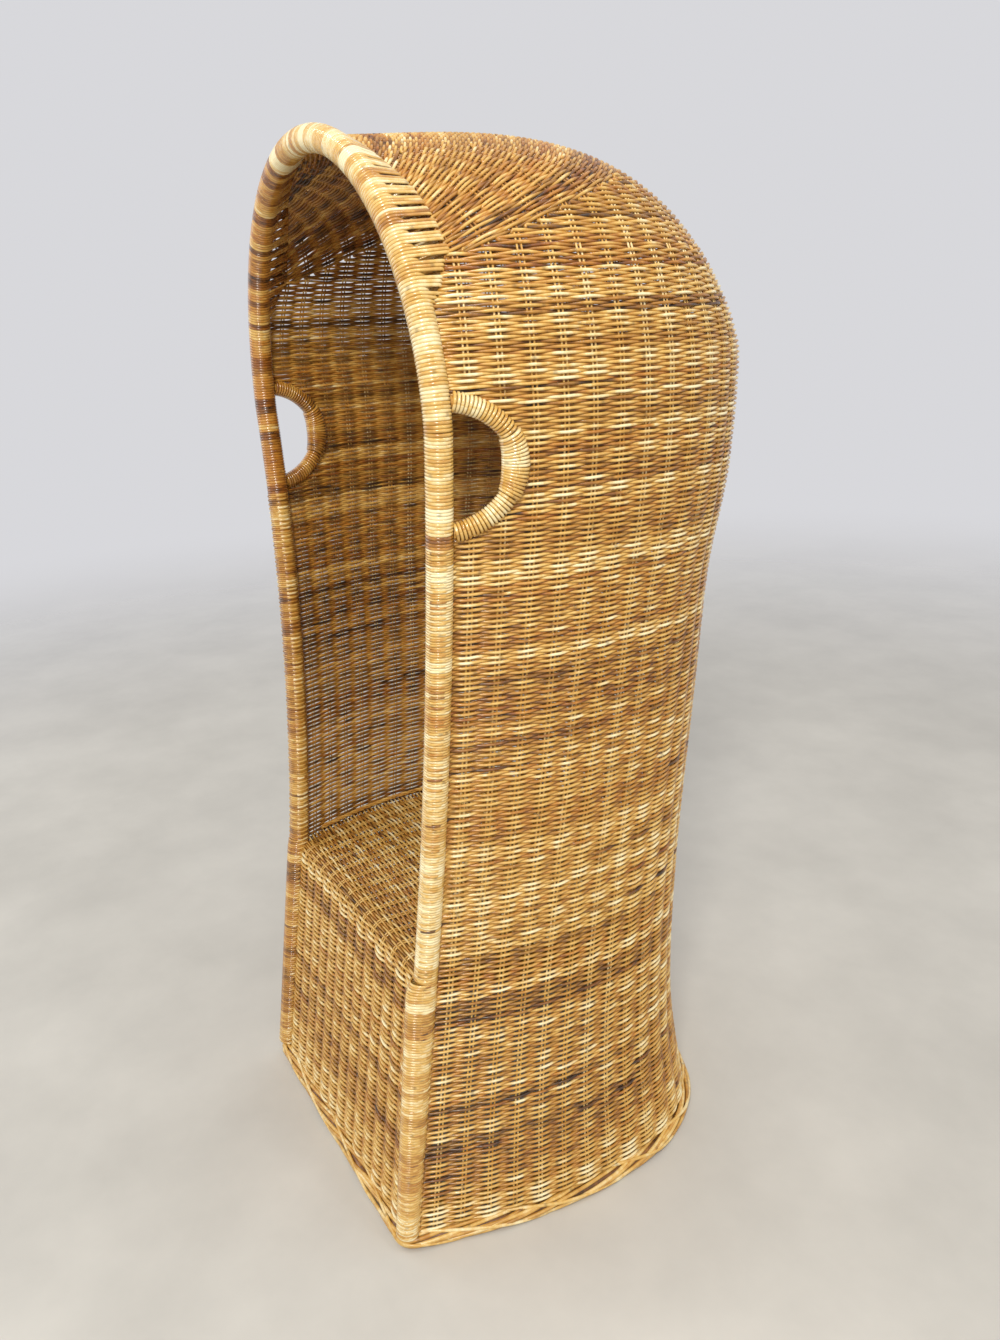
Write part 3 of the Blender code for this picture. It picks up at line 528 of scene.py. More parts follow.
class Bundle:
    """Strands of cane that become one closed mesh."""

    def __init__(self):
        self.strands = []

    def add(self, points, outs, wide, thick=None, tone=0.5, warm=0.5, loop=False):
        """Lay one strand along a line of points; outs point away from what it lies on.

        wide and thick are half of its width and of its thickness.
        """
        if len(points) < 3:
            return
        thick = wide if thick is None else thick
        self.strands.append((points, np.broadcast_to(outs, points.shape), *(
            np.broadcast_to(value, len(points)) for value in (wide, thick, tone, warm)), loop))

    def tubes(self):
        """Corners, faces, ends, map places and marks of all the strands.

        Each strand has a band of its own in the map, so that nothing there overlaps.
        """
        corners, faces, caps, places, cap_places, marks = [], [], [], [], [], []
        first, total = 0, len(self.strands)
        longest = max(walked_along(strand[0])[-1] for strand in self.strands)
        for number, (p, out, wide, thick, tone, warm, loop) in enumerate(self.strands):
            n = len(p)
            along = unit(np.roll(p, -1, 0) - np.roll(p, 1, 0) if loop else np.gradient(p, axis=0))
            side = unit(np.cross(along, out))
            up = np.cross(side, along)
            ring = (p[:, None] + side[:, None] * (np.cos(RING) * wide[:, None])[..., None]
                    + up[:, None] * (np.sin(RING) * thick[:, None])[..., None])
            corners.append(ring.reshape(-1, 3))
            walked = walked_along(p)
            marks.append(np.stack([np.repeat(tone, STRAND_SIDES), np.repeat(warm, STRAND_SIDES),
                                   np.repeat(walked, STRAND_SIDES),
                                   np.full(n * STRAND_SIDES, number)], 1))
            i, j = np.meshgrid(np.arange(n if loop else n - 1), np.arange(STRAND_SIDES),
                               indexing="ij")
            here, ahead = i * STRAND_SIDES, (i + 1) % n * STRAND_SIDES
            beside = (j + 1) % STRAND_SIDES
            faces.append(np.stack([here + j, ahead + j, ahead + beside, here + beside],
                                  -1).reshape(-1, 4) + first)
            low, high = (number + MAP_MARGIN) / total, (1 - 2 * MAP_MARGIN) / total / STRAND_SIDES
            ends = np.append(walked, walked[-1] * (1 + 1 / n)) / longest
            u0, u1, v0, v1 = ends[i], ends[i + 1], low + j * high, low + (j + 1) * high
            spots = np.stack([np.stack(spot, -1) for spot in ((u0, v0), (u1, v0), (u1, v1),
                                                              (u0, v1))], -2)
            places.append(np.clip(spots.reshape(-1, 2), 0, 1))
            for index, order in () if loop else ((0, 1), (n - 1, -1)):
                caps.append(np.arange(STRAND_SIDES)[::order] + first + index * STRAND_SIDES)
                cap_places.append(np.stack([
                    ends[index] + CAP_MAP_WIDTH * np.cos(RING),
                    low + high * (STRAND_SIDES / 2 + 1.5 * np.sin(RING))], 1))
            first += n * STRAND_SIDES
        return (np.concatenate(corners), np.concatenate(faces), caps,
                np.concatenate(places + cap_places), np.concatenate(marks))

    def build(self, name, nodes, slot, finish):
        """One finished piece that rides on the chair and stands for CAD nodes."""
        corners, quads, caps, places, marks = self.tubes()
        corners = corners - BACK * CENTRE_DEPTH
        loops = np.concatenate([quads.ravel(), *caps])
        starts = np.concatenate([np.arange(len(quads)) * 4,
                                 len(quads) * 4 + np.arange(len(caps)) * STRAND_SIDES])
        mesh = bpy.data.meshes.new(name)
        mesh.vertices.add(len(corners))
        mesh.vertices.foreach_set("co", corners.astype(np.float32).ravel())
        mesh.loops.add(len(loops))
        mesh.loops.foreach_set("vertex_index", loops.astype(np.int32))
        mesh.polygons.add(len(starts))
        mesh.polygons.foreach_set("loop_start", starts.astype(np.int32))
        mesh.polygons.foreach_set("use_smooth", np.ones(len(starts), bool))
        mesh.uv_layers.new(name="OFBake").uv.foreach_set("vector",
                                                         places.astype(np.float32).ravel())
        for mark, values in zip(MARKS, marks.T):
            layer = mesh.attributes.new(mark, "FLOAT", "POINT")
            layer.data.foreach_set("value", values.astype(np.float32))
        mesh.update(calc_edges=True)
        mesh.validate()
        mesh.materials.append(FINISHES[finish])
        item = bpy.data.objects.new(name, mesh)
        bpy.context.scene.collection.objects.link(item)
        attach(item, "root")
        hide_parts(*nodes)


# Colour of the cane, which changes from weaver to weaver

class Tones:
    """Tone and warmth of the cane: a few rows alike, then others, in lengths along each row."""

    def __init__(self, seed, middle=0.68, spread=0.09):
        self.random = np.random.default_rng(seed)
        self.middle, self.spread = middle, spread
        self.left, self.value, self.warm = 0, middle, 0.5

    def next(self, shift=0.0):
        """Tone and warmth of the next row; rows of the same cane come one to four together."""
        if self.left <= 0:
            self.left = self.random.integers(1, 5)
            self.value = self.middle + self.spread * self.random.normal()
            self.warm = self.random.uniform(0.05, 0.7)
        self.left -= 1
        return float(self.value + shift), self.warm

    def lengths(self, tone, warm, count, run=20):
        """Tone and warmth at the points of a row, which is made of many lengths of cane."""
        tones, warms, start = np.empty(count), np.empty(count), 0
        while start < count:
            length = int(self.random.integers(run // 2, run * 3))
            shade = self.random.normal(0, 0.08)
            if self.random.uniform() < STREAK_CHANCE:
                length, shade = int(self.random.integers(run // 4, run)), STREAK_SHIFT
            tones[start:start + length] = tone + shade
            warms[start:start + length] = warm + self.random.normal(0, 0.25)
            start += length
        tones += self.random.normal(0, 0.03, count)
        return {"tone": np.clip(tones, 0.03, 0.97), "warm": np.clip(warms, 0, 1)}


def painted_inner_shade(marks, lift):
    """Marks of a row with its inner side darker: painted shade where the strand passes behind the
    stakes into the shade of the weave.
    """
    inner = np.clip(0.5 - lift / 2, 0, 1)
    return {"tone": np.clip(marks["tone"] - INNER_PAINTED_SHADE * inner, 0.03, 0.97),
            "warm": marks["warm"]}


def band(height):
    """How much lighter or darker the cane is at a height."""
    return float(np.interp(height, BAND_HEIGHTS, BAND_SHIFTS))


def wave(places):
    """Out and in of a weaver, 1 to -1, at places counted in stakes."""
    return np.cos(math.pi * places)


def uneven(count):
    """Small shifts by hand along a row."""
    return TONES.random.normal(0, UNEVENNESS, count)


def stake_places(count):
    """Places of the corners of a row, counted in stakes."""
    return np.array([i + s for i in range(count) for s in STEPS] + [count], float)


def shell_row(height):
    """Middle line of one level row on the right half: stake places, points and outward lines."""
    places = stake_places(INTERVALS)
    if height <= SHOULDER_HEIGHT:
        shares = places / INTERVALS
        return places, WALL.place(shares, height), WALL.out(shares, height)
    level = np.interp(height, LEVEL_HEIGHTS, LEVELS.levels)
    places = places[places > np.interp(level, LEVELS.levels, LEVELS.ends) + 0.05]
    return places, LEVELS.sheet.place(places, level), LEVELS.sheet.out(places, level)


def pitch_at(height):
    """Distance between level rows, which is closest below the windows' middle."""
    return float(np.interp(height, PITCH_HEIGHTS, PITCHES))


def row_heights(low, high):
    """Heights of the level rows."""
    found, z = [], low
    while z < high:
        found.append(z)
        z += pitch_at(z)
    return np.array(found)


# Materials

def linear(code):
    """Colour of a hex code as Blender's shaders want it."""
    values = [int(code[i:i + 2], 16) / 255 for i in (1, 3, 5)]
    return [v / 12.92 if v <= 0.04045 else ((v + 0.055) / 1.055) ** 2.4 for v in values]


def node(tree, kind, inputs=None, stops=(), **settings):
    """Add one node with its settings, its inputs and, on a colour ramp, its stops.

    An input is a value, a node, which gives its first output, or one output of a node.
    """
    made = tree.nodes.new(kind)
    for key, value in settings.items():
        setattr(made, key, value)
    for key, value in (inputs or {}).items():
        if isinstance(value, bpy.types.Node):
            value = value.outputs[0]
        if isinstance(value, bpy.types.NodeSocket):
            tree.links.new(value, made.inputs[key])
        else:
            made.inputs[key].default_value = value
    for index, (place, colour) in enumerate(stops):
        points = made.color_ramp.elements
        point = points[index] if index < len(points) else points.new(place)
        point.position, point.color = place, (*colour, 1)
    return made


def empty_finish(name):
    """New material and its empty tree of nodes."""
    finish = bpy.data.materials.new(name)
    finish.use_nodes = True
    finish.node_tree.nodes.clear()
    return finish, finish.node_tree


def cane_finish(name, gloss, coat, paler):
    """Varnished rattan: long fibres along the strand, darker leaf rings, a soft clear coat."""
    colours = bpy.context.scene.chair_colours
    finish, tree = empty_finish(name)
    tone, warm, along, strand = (node(tree, "ShaderNodeAttribute", attribute_name=mark)
                                 .outputs["Fac"] for mark in MARKS)
    place = node(tree, "ShaderNodeTexCoord").outputs["Object"]
    # Mottling two to six centimetres long, different on every strand.
    run = node(tree, "ShaderNodeCombineXYZ", {"X": along, "Y": strand, "Z": 0.0})
    mottle = node(tree, "ShaderNodeTexNoise", {"Vector": run, "Scale": MOTTLES_TO_THE_METRE,
                                               "Detail": 3.0, "Roughness": 0.65})
    fibre = node(tree, "ShaderNodeTexNoise", {"Vector": place, "Scale": FIBRES_TO_THE_METRE,
                                              "Detail": 2.0, "Roughness": 0.6})
    shift = node(tree, "ShaderNodeMapRange", {"Value": mottle, "From Min": 0.3, "From Max": 0.7,
                                              "To Min": paler - 0.24, "To Max": paler + 0.24})
    grain = node(tree, "ShaderNodeMapRange", {"Value": fibre, "From Min": 0.3, "From Max": 0.7,
                                              "To Min": -0.06, "To Max": 0.06})
    value = node(tree, "ShaderNodeMath", {0: tone, 1: shift}, operation="ADD")
    value = node(tree, "ShaderNodeMath", {0: value, 1: grain}, operation="ADD", use_clamp=True)
    golden = node(tree, "ShaderNodeValToRGB", {"Fac": value}, (
        (0.0, colours.shadow), (0.25, colours.brown), (0.5, colours.tan),
        (0.72, colours.golden), (0.95, colours.pale)))
    reddish = node(tree, "ShaderNodeValToRGB", {"Fac": value}, (
        (0.0, colours.shadow), (0.25, colours.russet), (0.5, colours.amber),
        (0.75, colours.golden), (1.0, colours.pale)))
    colour = node(tree, "ShaderNodeMix", {"Factor": warm, 6: golden, 7: reddish},
                  data_type="RGBA").outputs[2]
    # A darker ring where the cane had a leaf, at another place on each strand.
    offset = node(tree, "ShaderNodeMath", {0: strand, 1: 0.0773}, operation="MULTIPLY")
    ring = node(tree, "ShaderNodeMath", {0: along, 1: offset}, operation="ADD")
    ring = node(tree, "ShaderNodeMath", {0: ring, 1: LEAF_RING_DISTANCE}, operation="PINGPONG")
    knot = node(tree, "ShaderNodeMapRange", {"Value": ring, "From Min": 0.0008,
                                             "From Max": 0.004, "To Min": 0.4, "To Max": 0.0})
    colour = node(tree, "ShaderNodeMix", {"Factor": knot, 6: colour, 7: (*colours.shadow, 1)},
                  data_type="RGBA").outputs[2]
    rough = node(tree, "ShaderNodeMapRange", {"Value": mottle, "From Min": 0.3, "From Max": 0.7,
                                              "To Min": gloss + 0.1, "To Max": gloss - 0.05})
    bump = node(tree, "ShaderNodeBump", {"Height": fibre, "Strength": 0.25, "Distance": 0.0003})
    shader = node(tree, "ShaderNodeBsdfPrincipled", {
        "Base Color": colour, "Roughness": rough, "Normal": bump,
        "Coat Weight": coat, "Coat Roughness": 0.12})
    node(tree, "ShaderNodeOutputMaterial", {"Surface": shader})
    return finish


def pole_finish(name):
    """Bare pole, its skin peeled off: dry, matt wood with long fine grain."""
    colours = bpy.context.scene.chair_colours
    finish, tree = empty_finish(name)
    place = node(tree, "ShaderNodeTexCoord").outputs["Object"]
    stretched = node(tree, "ShaderNodeMapping", {"Vector": place, "Scale": GRAIN_TO_THE_METRE})
    grain = node(tree, "ShaderNodeTexNoise", {"Vector": stretched, "Scale": 1.0, "Detail": 5.0})
    colour = node(tree, "ShaderNodeValToRGB", {"Fac": grain}, (
        (0.2, colours.brown), (0.55, colours.tan), (0.8, colours.golden)))
    bump = node(tree, "ShaderNodeBump", {"Height": grain, "Strength": 0.2, "Distance": 0.0005})
    shader = node(tree, "ShaderNodeBsdfPrincipled", {
        "Base Color": colour, "Roughness": 0.5, "Normal": bump})
    node(tree, "ShaderNodeOutputMaterial", {"Surface": shader})
    return finish


def floor_finish(name, colour):
    """Matt concrete, faintly clouded; it fades out into the air a few metres away."""
    finish, tree = empty_finish(name)
    place = node(tree, "ShaderNodeTexCoord").outputs["Object"]
    cloud = node(tree, "ShaderNodeTexNoise", {"Vector": place, "Scale": 2.2, "Detail": 6.0,
                                              "Roughness": 0.6})
    shade = node(tree, "ShaderNodeValToRGB", {"Fac": cloud}, (
        (0.3, [v * 0.88 for v in colour]), (0.7, [min(1.0, v * 1.08) for v in colour])))
    away = node(tree, "ShaderNodeVectorMath", {0: place}, operation="LENGTH").outputs["Value"]
    fade = node(tree, "ShaderNodeMapRange", {"Value": away, "From Min": 1.6, "From Max": 6.0},
                interpolation_type="SMOOTHSTEP")
    shader = node(tree, "ShaderNodeBsdfPrincipled", {"Base Color": shade, "Roughness": 0.8})
    clear = node(tree, "ShaderNodeBsdfTransparent")
    both = node(tree, "ShaderNodeMixShader", {0: fade, 1: shader, 2: clear})
    node(tree, "ShaderNodeOutputMaterial", {"Surface": both})
    return finish


# Weaving

TONES = Tones(SEED)
ROWS = list(enumerate(row_heights(HEM_HEIGHT + 0.001, PIVOT_HEIGHT)))
ROW_TONES = {number: TONES.next(band(height)) for number, height in ROWS}


def wall_directions(height):
    """Level directions at the right post: out of the wall, and along it to the front."""
    ends = WALL.place([0.0, 0.03], min(height, SHOULDER_HEIGHT))
    front = unit(ends[0] - ends[1])
    return np.array([-front[1], front[0], 0.0]), front


def round_post(height, out, front, sway, places, half, outs, lift):
    """Lead the start of a row round the right post, from the side of it that out names."""
    ring = np.cos(POST_TURN) * out + np.sin(POST_TURN) * front
    keep = places >= 0.5
    return (np.concatenate([post_point(height) + ring * RING_RADIUS, half[keep]]),
            np.concatenate([ring, outs[keep]]),
            np.concatenate([np.full(len(ring), sway), lift[keep]]))


def from_start(spare, *tables):
    """Tables from the place where spare stays above zero, with that very place added."""
    first = last_run(spare > 0)
    if not 0 < first < len(spare):
        return [table[first:] for table in tables]
    part = spare[first] / (spare[first] - spare[first - 1])
    return [np.concatenate([(table[first] + (table[first - 1] - table[first]) * part)[None],
                            table[first:]]) for table in tables]


def weave_level_rows(sizes, low, high, name, nodes, slot):
    """Level rows between two heights, wound round both posts where no window stops them."""
    bundle = Bundle()
    for number, height in ROWS:
        if not low <= height < high:
            continue
        places, points, outs = shell_row(height)
        parity = 1 if number % 2 else -1
        lift = sizes.sway * parity * wave(places) + uneven(len(places))
        half = points + outs * lift[:, None]
        half[:, 2] += uneven(len(places))
        cut = window_start(height)
        if cut:
            half, outs, lift = from_start(places / INTERVALS - cut, half, outs, lift)
        elif height > WINDOW_FOOT:
            away, reach = knuckle_distance(points)
            spare = away - np.maximum(CORE_RADIUS - 0.002, reach - 0.003)
            half, outs, lift = from_start(spare, half, outs, lift)
        else:
            out, front = wall_directions(height)
            half, outs, lift = round_post(height, out * parity, front, sizes.sway, places, half,
                                          outs, lift)
        cane = sizes.weaver if height > SEAT_HEIGHT else sizes.low_weaver
        line = both_sides(half)
        bundle.add(line, both_sides(outs), cane / 2, cane * THICK_SHARE,
                   **painted_inner_shade(TONES.lengths(*ROW_TONES[number], len(line)),
                          both_sides(lift) / sizes.sway))
    bundle.build(name, nodes, slot, "weaver")


def scattered(number):
    """Evenly scattered share for a whole number, by turning its binary digits round."""
    value, step = 0.0, 0.5
    while number:
        value += step * (number & 1)
        number >>= 1
        step /= 2
    return value


def fan_rows():
    """Rows above the pivot, as pairs that share a turn: their family, places and levels.

    Level rows fill the back up to the fan's lowest row. Each pair stops where the rows have
    no more room, and its neighbours close in.
    """
    first = float(np.interp(PIVOT_HEIGHT, LEVEL_HEIGHTS, LEVELS.levels))
    middle = LEVELS.sheet.place(INTERVALS, LEVELS.levels)
    last = float(np.interp(-0.002, above(middle, FAN_PLANES[0]), LEVELS.levels))
    columns = LEVELS.columns
    rooms, levels = [], []
    for family, low, high in ((LEVELS, first, last), (FAN, 0.0, FAN.levels[-1])):
        level = family.row_levels(low, high, FAN_PITCH)
        room = np.clip(family.gaps(level) / FAN_LEAST, 0.03, 1)
        if family is LEVELS:
            past = above(family.sheet.place(columns, level[:, None]),
                         FAN_PLANES[0]) > -FAN_PITCH * 0.7
            past[1::2] = past[::2]
            room[past] = 0
        room[columns < np.interp(level, family.levels, family.ends)[:, None]] = 0
        rooms.append(np.minimum.accumulate(room[:, ::-1], axis=1)[:, ::-1])
        levels.append(level)
    rows_below, count = len(levels[0]), sum(len(level) for level in levels)
    room = np.concatenate(rooms)
    stop = np.array([scattered(k // 2 + 1) for k in range(count)])[:, None]
    weight = np.clip(0.5 + (room - stop) / 0.12, 0, 1)
    weight = weight * weight * (3 - 2 * weight)
    weight[room > 0.999] = 1
    weight[room == 0] = 0
    filled = np.cumsum(room, axis=0) - room / 2
    wanted = np.cumsum(weight, axis=0) - weight / 2
    numbers = np.arange(count)
    steady = 1e-6 * numbers
    paths = np.stack([np.interp(wanted[:, j] + steady, filled[:, j] + steady, numbers)
                      for j in range(len(columns))], 1)
    paths = smoothed(paths, weight >= 0.5)
    pairs = []
    for k in range(0, count, 2):
        family, start = (LEVELS, 0) if k < rows_below else (FAN, rows_below)
        level = levels[0] if k < rows_below else levels[1]
        pair = []
        free = (weight[k] >= 0.5) & (weight[k + 1] >= 0.5)
        begin = last_run(free)
        for row in (k, k + 1):
            place = np.clip(paths[row, begin:] - start, 0, len(level) - 1)
            pair.append(np.stack([columns[begin:],
                                  np.interp(place, np.arange(len(level)), level)], 1))
        pairs.append((family, pair))
    return pairs


def smoothed(paths, drawn, reach=9):
    """Paths without sharp jogs; only the drawn part of each counts."""
    made = paths.copy()
    for k, free in enumerate(drawn):
        begin = last_run(free)
        line = paths[k, begin:]
        if len(line) < 4:
            continue
        line = np.pad(line, reach * 3, mode="reflect" if len(line) > reach * 3 else "edge")
        for _ in range(3):
            line = np.convolve(line, np.ones(2 * reach + 1) / (2 * reach + 1), mode="valid")
        made[k, begin:] = line
    return made


def knuckle_distance(points):
    """Distance of points from the arch, and how far the knuckles lie behind it there."""
    near = arch_points(points)
    return np.linalg.norm(points - near, axis=1), tail_length(near[:, 2])


def fan_half(family, row, parity, sizes):
    """Right half of one row above the pivot, ending at the knuckles."""
    places = stake_places(INTERVALS)
    places = np.concatenate([[row[0, 0]], places[places > row[0, 0] + 0.1]])
    levels = np.interp(places, row[:, 0], row[:, 1])
    points = family.sheet.place(places, levels)
    away, reach = knuckle_distance(points)
    places = from_start(away - reach + 0.002, places)[0]
    if len(places) < 5:
        return None
    levels = np.interp(places, row[:, 0], row[:, 1])
    points = family.sheet.place(places, levels)
    outs = family.sheet.out(places, levels)
    lift = wave(places) * parity
    return points + outs * (lift * sizes.sway * FAN_SWAY_SHARE)[:, None], outs, lift


def turn_round(there, back):
    """Small round turn from the end of one row to the start of the next."""
    a, b = there[-1], back[0]
    ahead = unit(a - there[-2])
    return np.stack([(a * 3 + b) / 4 + ahead * 0.0016, (a + b) / 2 + ahead * 0.0024,
                     (a + b * 3) / 4 + ahead * 0.0016])


def weave_fan(sizes, name, nodes, slot):
    """Rows above the pivot, made as pairs that turn round at both ends."""
    bundles = [Bundle(), Bundle()]
    for index, (family, pair) in enumerate(fan_rows()):
        if len(pair[0]) < 12:
            continue
        halves = [fan_half(family, row, sign, sizes) for row, sign in zip(pair, (1, -1))]
        if None in halves:
            continue
        tone, warm = TONES.next(FAN_DARKER)
        there, back = ([both_sides(table)[::order] for table in half]
                       for half, order in zip(halves, (1, -1)))
        points, outs, lifts = [], [], []
        for (line, out, lift), (ahead, _, _) in ((there, back), (back, there)):
            turn = turn_round(line, ahead)
            points += [line, turn]
            outs += [out, np.repeat(out[-1:], len(turn), 0)]
            lifts += [lift, np.zeros(len(turn))]
        points = np.concatenate(points)
        marks = painted_inner_shade(TONES.lengths(tone, warm, len(points)), np.concatenate(lifts))
        bundles[index % 2].add(points, np.concatenate(outs), sizes.weaver / 2,
                               sizes.weaver * THICK_SHARE, loop=True, **marks)
    for part, bundle in zip(("even", "odd"), bundles):
        bundle.build(name + "_" + part, nodes, slot, "weaver")


def arch_points(points):
    """Nearest points of the arch's centre line."""
    apart = np.linalg.norm(points[:, None] - RIGHT_ARCH_LINE, axis=2)
    return RIGHT_ARCH_LINE[apart.argmin(1)]


def lay_stakes(sizes, name, nodes, slot):
    """Pairs of thin stakes that the rows pass over and under, from the hem to the arch."""
    bundle = Bundle()
    random = np.random.default_rng(SEED + 5)
    heights = np.linspace(HEM_HEIGHT - 0.004, SHOULDER_HEIGHT, 40)
    for stake in range(1, INTERVALS + 1):
        share = stake / INTERVALS
        tones = np.full(len(heights), random.uniform(*STAKE_TONES))
        line, out = WALL.place(share, heights), WALL.out(share, heights)
        for family, step, tone in ((LEVELS, 2, tones[0]), (FAN, 5, FAN_STAKE_TONE)):
            levels = family.levels[2::step][family.ends[2::step] < stake]
            over = family.sheet.place(stake, levels)
            keep = np.linalg.norm(over - arch_points(over), axis=1) > CORE_RADIUS
            keep &= (above(over, FAN_PLANES[0]) < -0.002) == (family is LEVELS)
            line = np.concatenate([line, over[keep]])
            out = np.concatenate([out, family.sheet.out(stake, levels)[keep]])
            tones = np.append(tones, np.full(keep.sum(), tone))
        side = unit(np.cross(np.gradient(line, axis=0), out))
        for shift in (-sizes.stake_gap / 2, sizes.stake_gap / 2):
            for piece, outs, tone in clear_runs(line + side * shift, share, out, tones):
                bundle.add(piece, outs, sizes.stake / 2, tone=tone, warm=STAKE_WARMTH)
                if stake < INTERVALS:
                    bundle.add(mirrored(piece), mirrored(outs), sizes.stake / 2, tone=tone,
                               warm=STAKE_WARMTH)
    bundle.build(name, nodes, slot, "stake")


def clear_runs(line, share, *others):
    """The runs of a stake's line that no window interrupts, with the same runs of the others."""
    free = [share >= window_start(z) for z in line[:, 2]]
    start = None
    for index, good in enumerate(free + [False]):
        if good and start is None:
            start = index
        if not good and start is not None:
            if index - start >= 3:
                yield tuple(table[start:index] for table in (line, *others))
            start = None


def lay_ring(bundle, centre, along, back, outline, wide, thick, tone, warm):
    """Lay one closed turn round a pole."""
    across = np.cross(along, back)
    points = centre + outline[:, :1] * back + outline[:, 1:] * across
    bundle.add(points, points - centre, wide, thick, tone=tone, warm=warm, loop=True)


def tail_length(height):
    """How far behind the arch the binding reaches back to the knuckles at a height."""
    return np.interp(height, TAIL_HEIGHTS, TAIL_REACHES)


def bind_arch(sizes, name, nodes, slot):
    """Close turns of glossy cane round the arch; above the pivot they reach back to the fan."""
    bundle = Bundle()
    walked = walked_along(ARCH_LINE)
    tones = Tones(SEED + 2, 0.72, 0.13)
    first = float(np.interp(WINDOW_FOOT, ARCH_LINE[:POST_POINTS, 2], walked[:POST_POINTS]))
    length = walked[-1] - 2 * first
    count = int(length / sizes.binding)
    for index in range(count + 1):
        at = first + index / count * length
        before, centre, after = along_line(ARCH_LINE, walked, at + np.array([-0.003, 0, 0.003]))
        along = unit(after - before)
        tail = tail_length(centre[2]) if index % 4 != 1 else 0  # each fourth turn stays short
        back = across(hood_direction(centre) if tail > RING_RADIUS else BACK, along)
        tone, warm = tones.next(0.04)
        far = min(max(-centre[0] / 0.15, 0.0), 1.0)  # browner on the left, as the real one is
        lay_ring(bundle, centre, along, back, teardrop(RING_RADIUS, tail, 22 if tail else 16),
                 sizes.binding * 0.56, TURN_THICKNESS * 1.2, tone - 0.27 * far,
                 min(1.0, warm + 0.4 * far))
    bundle.build(name, nodes, slot, "binding")


def wind_posts(low, high, name, nodes, slot):
    """Turns of the rows themselves round both posts."""
    bundle = Bundle()
    outline = teardrop(RING_RADIUS, 0, 16)
    for number, height in ROWS:
        if not low <= height < high:
            continue
        centre = post_point(height)
        along = unit(post_point(height + 0.003) - centre)
        back = across(BACK, along)
        tone, warm = ROW_TONES[number]
        fuller = np.interp(height, CORNER_HEIGHTS, CORNER_REACHES) / RING_RADIUS
        near = np.interp(height, NEAR_TONE_HEIGHTS, NEAR_TONE_SHIFTS)
        for side, share, shift in ((1, 1.0, near), (-1, FAR_CORNER_SHARE, FAR_TONE_SHIFT)):
            flip = np.array([side, 1, 1])
            shape = outline * np.where(outline < 0, [1 + fuller * share, 1], 1)
            lay_ring(bundle, centre * flip, along * flip, back, shape, pitch_at(height) * 0.53,
                     TURN_THICKNESS * 1.25, tone + TONES.random.normal(0, 0.04) + shift, warm)
    bundle.build(name, nodes, slot, "binding")


def hood_direction(centre):
    """Direction in which the hood leaves the arch at a point."""
    rise = min(max((centre[2] - ARCH_SPRING_HEIGHT) / ARCH_RISE, -1.0), 1.0)
    line = hood_line(math.asin(rise))
    back = along_line(line, walked_along(line), 0.04) - line[0]
    return back * np.array([math.copysign(1, centre[0]), 1, 1])


def teardrop(radius, tail, count):
    """Closed outline round the pole, drawn out to a small round end behind it."""
    if tail <= radius:
        angles = np.linspace(0, math.tau, count, endpoint=False)
        return np.stack([np.cos(angles), np.sin(angles)], 1) * radius
    small = TAIL_END_RADIUS
    centre = tail - small
    lean = math.asin((radius - small) / centre)
    front = np.linspace(math.pi / 2 - lean, math.tau - (math.pi / 2 - lean), count - 8)
    end = np.linspace(-(math.pi / 2 - lean), math.pi / 2 - lean, 6)
    big = np.stack([np.cos(front), np.sin(front)], 1) * radius
    tip = np.stack([centre + small * np.cos(end), small * np.sin(end)], 1)
    return np.concatenate([big, tip])


def rim_line():
    """Centre line of the right window rim, and the directions out of the wall along it."""
    end = math.acos(CORE_RADIUS * 0.7 / WINDOW_REACH)
    angles = np.linspace(-end, end, 400)
    heights = WINDOW_HEIGHT + WINDOW_HALF_HEIGHT * np.sin(angles)
    shares = WINDOW_REACH * np.cos(angles) / [wall_length(z) for z in heights]
    line, out = WALL.place(shares, heights), WALL.out(shares, heights)
    walked = walked_along(line)
    wanted = np.linspace(0, walked[-1], 600)
    return along_line(line, walked, wanted), along_line(out, walked, wanted)


def wrap_rim(side, word, part, ending, low, high, pitch, thick, wide, belly):
    """Round cane wound along one part of a window rim, fuller on the side of the opening."""
    bundle = Bundle()
    line, out = rim_line()
    walked = walked_along(line)
    count = int(walked[-1] * (high - low) / pitch)
    tones = Tones(SEED + 7, RIM_TONES[side], 0.08)
    angles = np.linspace(0, math.tau, 16, endpoint=False)[:, None]
    flip = np.array([side, 1, 1])
    for index in range(count):
        at = (low + (index + 0.5) / count * (high - low)) * walked[-1]
        before, centre, after = along_line(line, walked, at + np.array([-0.002, 0, 0.002]))
        along = unit(after - before)
        up = across(along_line(out, walked, at), along)
        over = np.cross(along, up)
        ring = np.cos(angles) * up + np.sin(angles) * over
        fuller = belly * math.sin(math.pi * (index + 0.5) / count) * np.clip(-np.sin(angles), 0, 1)
        points = centre + (RIM_CORE_RADIUS + thick) * (ring - fuller * over)
        tone, warm = tones.next()
        bundle.add(points * flip, ring * flip, wide, thick, tone=tone, warm=warm, loop=True)
    node_name = f"{word}_window_{part}_{ending}"
    bundle.build(f"{word}_window_{part}_wrap", (node_name,), node_name, "binding")


